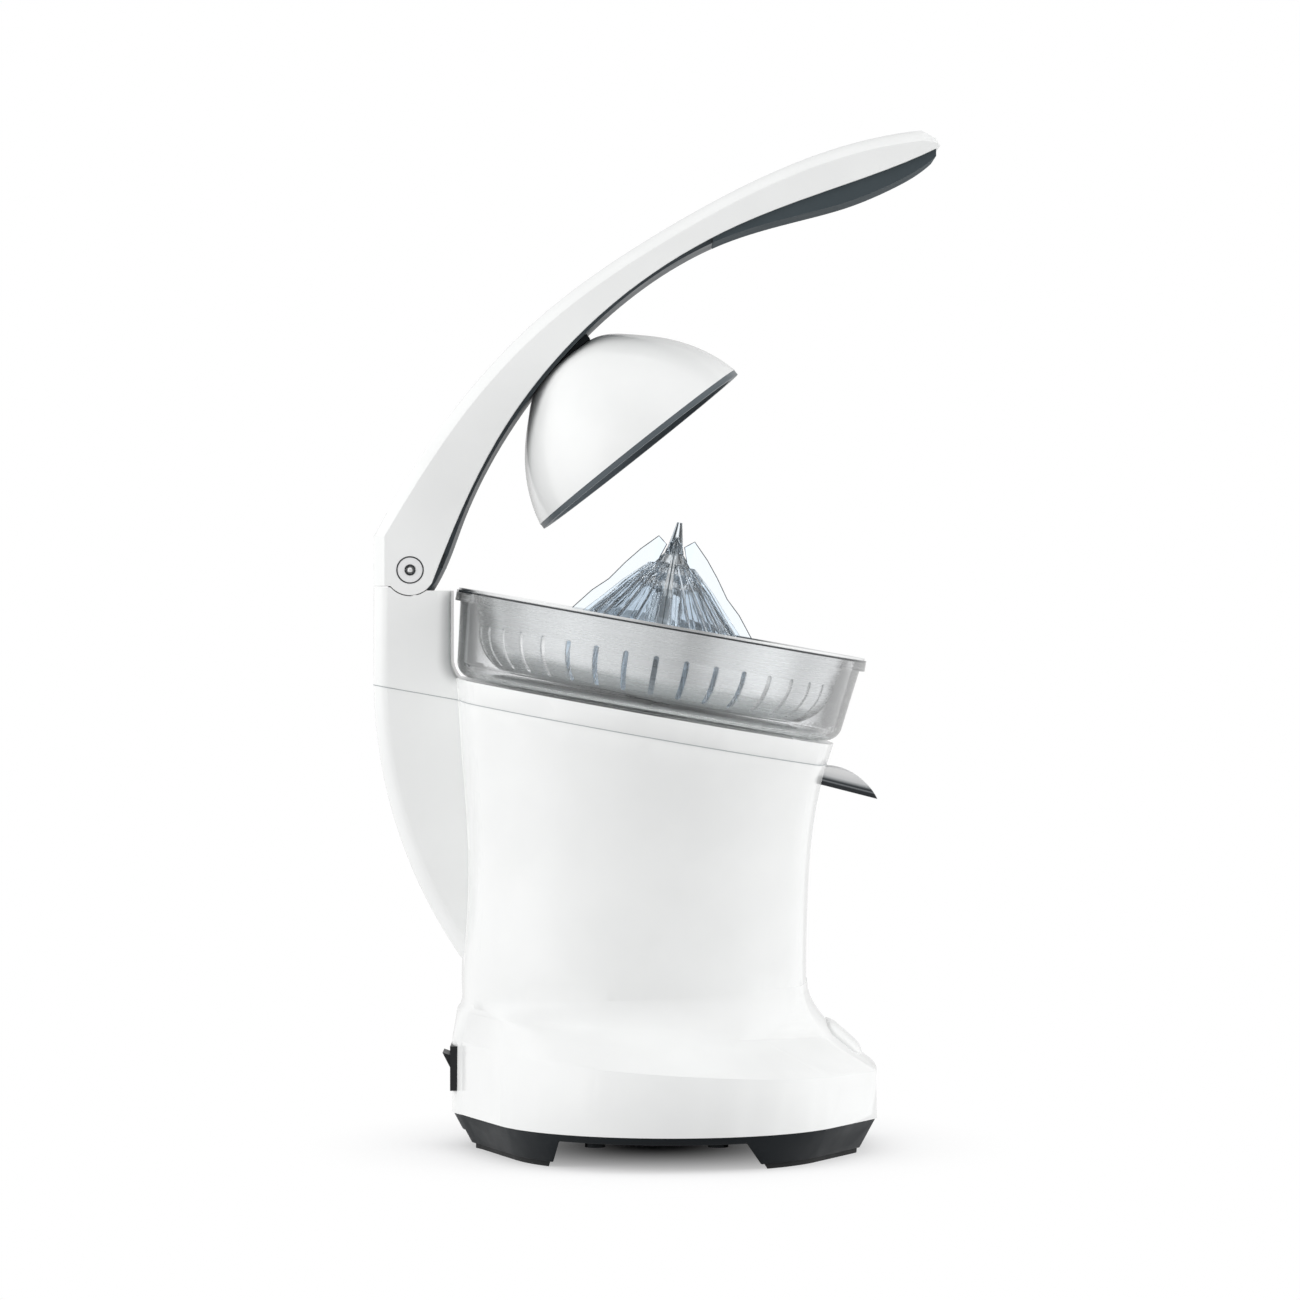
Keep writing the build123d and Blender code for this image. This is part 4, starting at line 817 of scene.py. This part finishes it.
def make_paper_floor():
    material, tree, shader = new_finish(
        "paper_matt_white", Roughness=0.9, Specular_IOR_Level=0.0, Base_Color=linear("#f6f6f7"))
    place = add_node(tree, "ShaderNodeTexCoord")
    oval = add_node(tree, "ShaderNodeVectorMath", {
        0: place.outputs["Object"], 1: (1 / shadow_reach_x, 1 / shadow_reach_y, 1.0)}, operation="MULTIPLY")
    away = add_node(tree, "ShaderNodeVectorMath", {0: oval.outputs["Vector"]}, operation="LENGTH")
    fade = add_node(tree, "ShaderNodeMapRange", {
        "Value": away.outputs["Value"], "From Min": fade_from, "From Max": fade_full},
        interpolation_type="SMOOTHSTEP")
    paper = add_node(tree, "ShaderNodeEmission", {
        "Color": room_colour(tree, place.outputs["Object"]), "Strength": 1.0})
    mixed = add_node(tree, "ShaderNodeMixShader", {
        "Fac": fade.outputs["Result"], 1: shader.outputs["BSDF"], 2: paper.outputs["Emission"]})
    tree.links.new(mixed.outputs["Shader"], tree.nodes["Material Output"].inputs["Surface"])
    return material


floor_data = bpy.data.meshes.new("floor")
floor_corners = [(-floor_half, -floor_half, 0), (floor_half, -floor_half, 0),
                 (floor_half, floor_half, 0), (-floor_half, floor_half, 0)]
floor_data.from_pydata(floor_corners, [], [(0, 1, 2, 3)])
floor = bpy.data.objects.new("floor", floor_data)
bpy.context.scene.collection.objects.link(floor)
# Matt paper: no reflection, only the soft shadow under the base.
floor.data.materials.append(make_paper_floor())
print("floor side:", 2 * floor_half, "m")

# %% [markdown]
# ## Soft boxes
# Two tall soft boxes stand almost level with the press, one on each side.
# They make both flanks of the barrel glow and leave the side that faces the camera a little greyer.
# A weak one overhead lifts the tops. Reflections are left to the walls, so no lamp shows as a hard rectangle.

# %% Lamps
lamp_target = Vector((0, 0, 0.2))
lamps = (  # name, place, width, height, power in watts
    ("soft_box_left", (-1.45, -0.7, 0.45), 0.9, 1.5, 14.5),
    ("soft_box_right", (1.55, -0.25, 0.45), 0.9, 1.5, 14.5),
    ("soft_box_top", (0.0, -0.2, 1.8), 1.4, 1.4, 5.0),
)
for name, place, width, height, power in lamps:
    lamp = bpy.data.lights.new(name, "AREA")
    lamp.shape = "RECTANGLE"
    lamp.size = width
    lamp.size_y = height
    lamp.energy = power
    holder = bpy.data.objects.new(name, lamp)
    bpy.context.scene.collection.objects.link(holder)
    holder.location = place
    holder.rotation_euler = (lamp_target - Vector(place)).to_track_quat("-Z", "Y").to_euler()
    holder.visible_glossy = False
    holder.visible_transmission = False

# %% [markdown]
# ## Camera
# The photograph was taken from the side with a long lens, level with the bowl, so upright edges stay upright.
# A small downward shift puts the press in the middle of the square frame without tilting the camera.

# %% Camera
sensor_mm = 36.0
frame_pixels = 1300
focal_pixels = 4914
shift_pixels = -52
lens = bpy.data.cameras.new("side_view")
lens.sensor_width = sensor_mm
lens.sensor_height = sensor_mm
lens.lens = sensor_mm * focal_pixels / frame_pixels
lens.shift_y = shift_pixels / frame_pixels
lens.clip_end = 50.0
camera = bpy.data.objects.new("side_view", lens)
bpy.context.scene.collection.objects.link(camera)
camera.location = (-0.0026, -2.0, 0.2226)
camera.rotation_euler = (math.pi / 2, 0.0, 0.0)
bpy.context.scene.camera = camera
bpy.context.scene.view_settings.view_transform = "Standard"
print("lens:", round(lens.lens, 1), "mm")
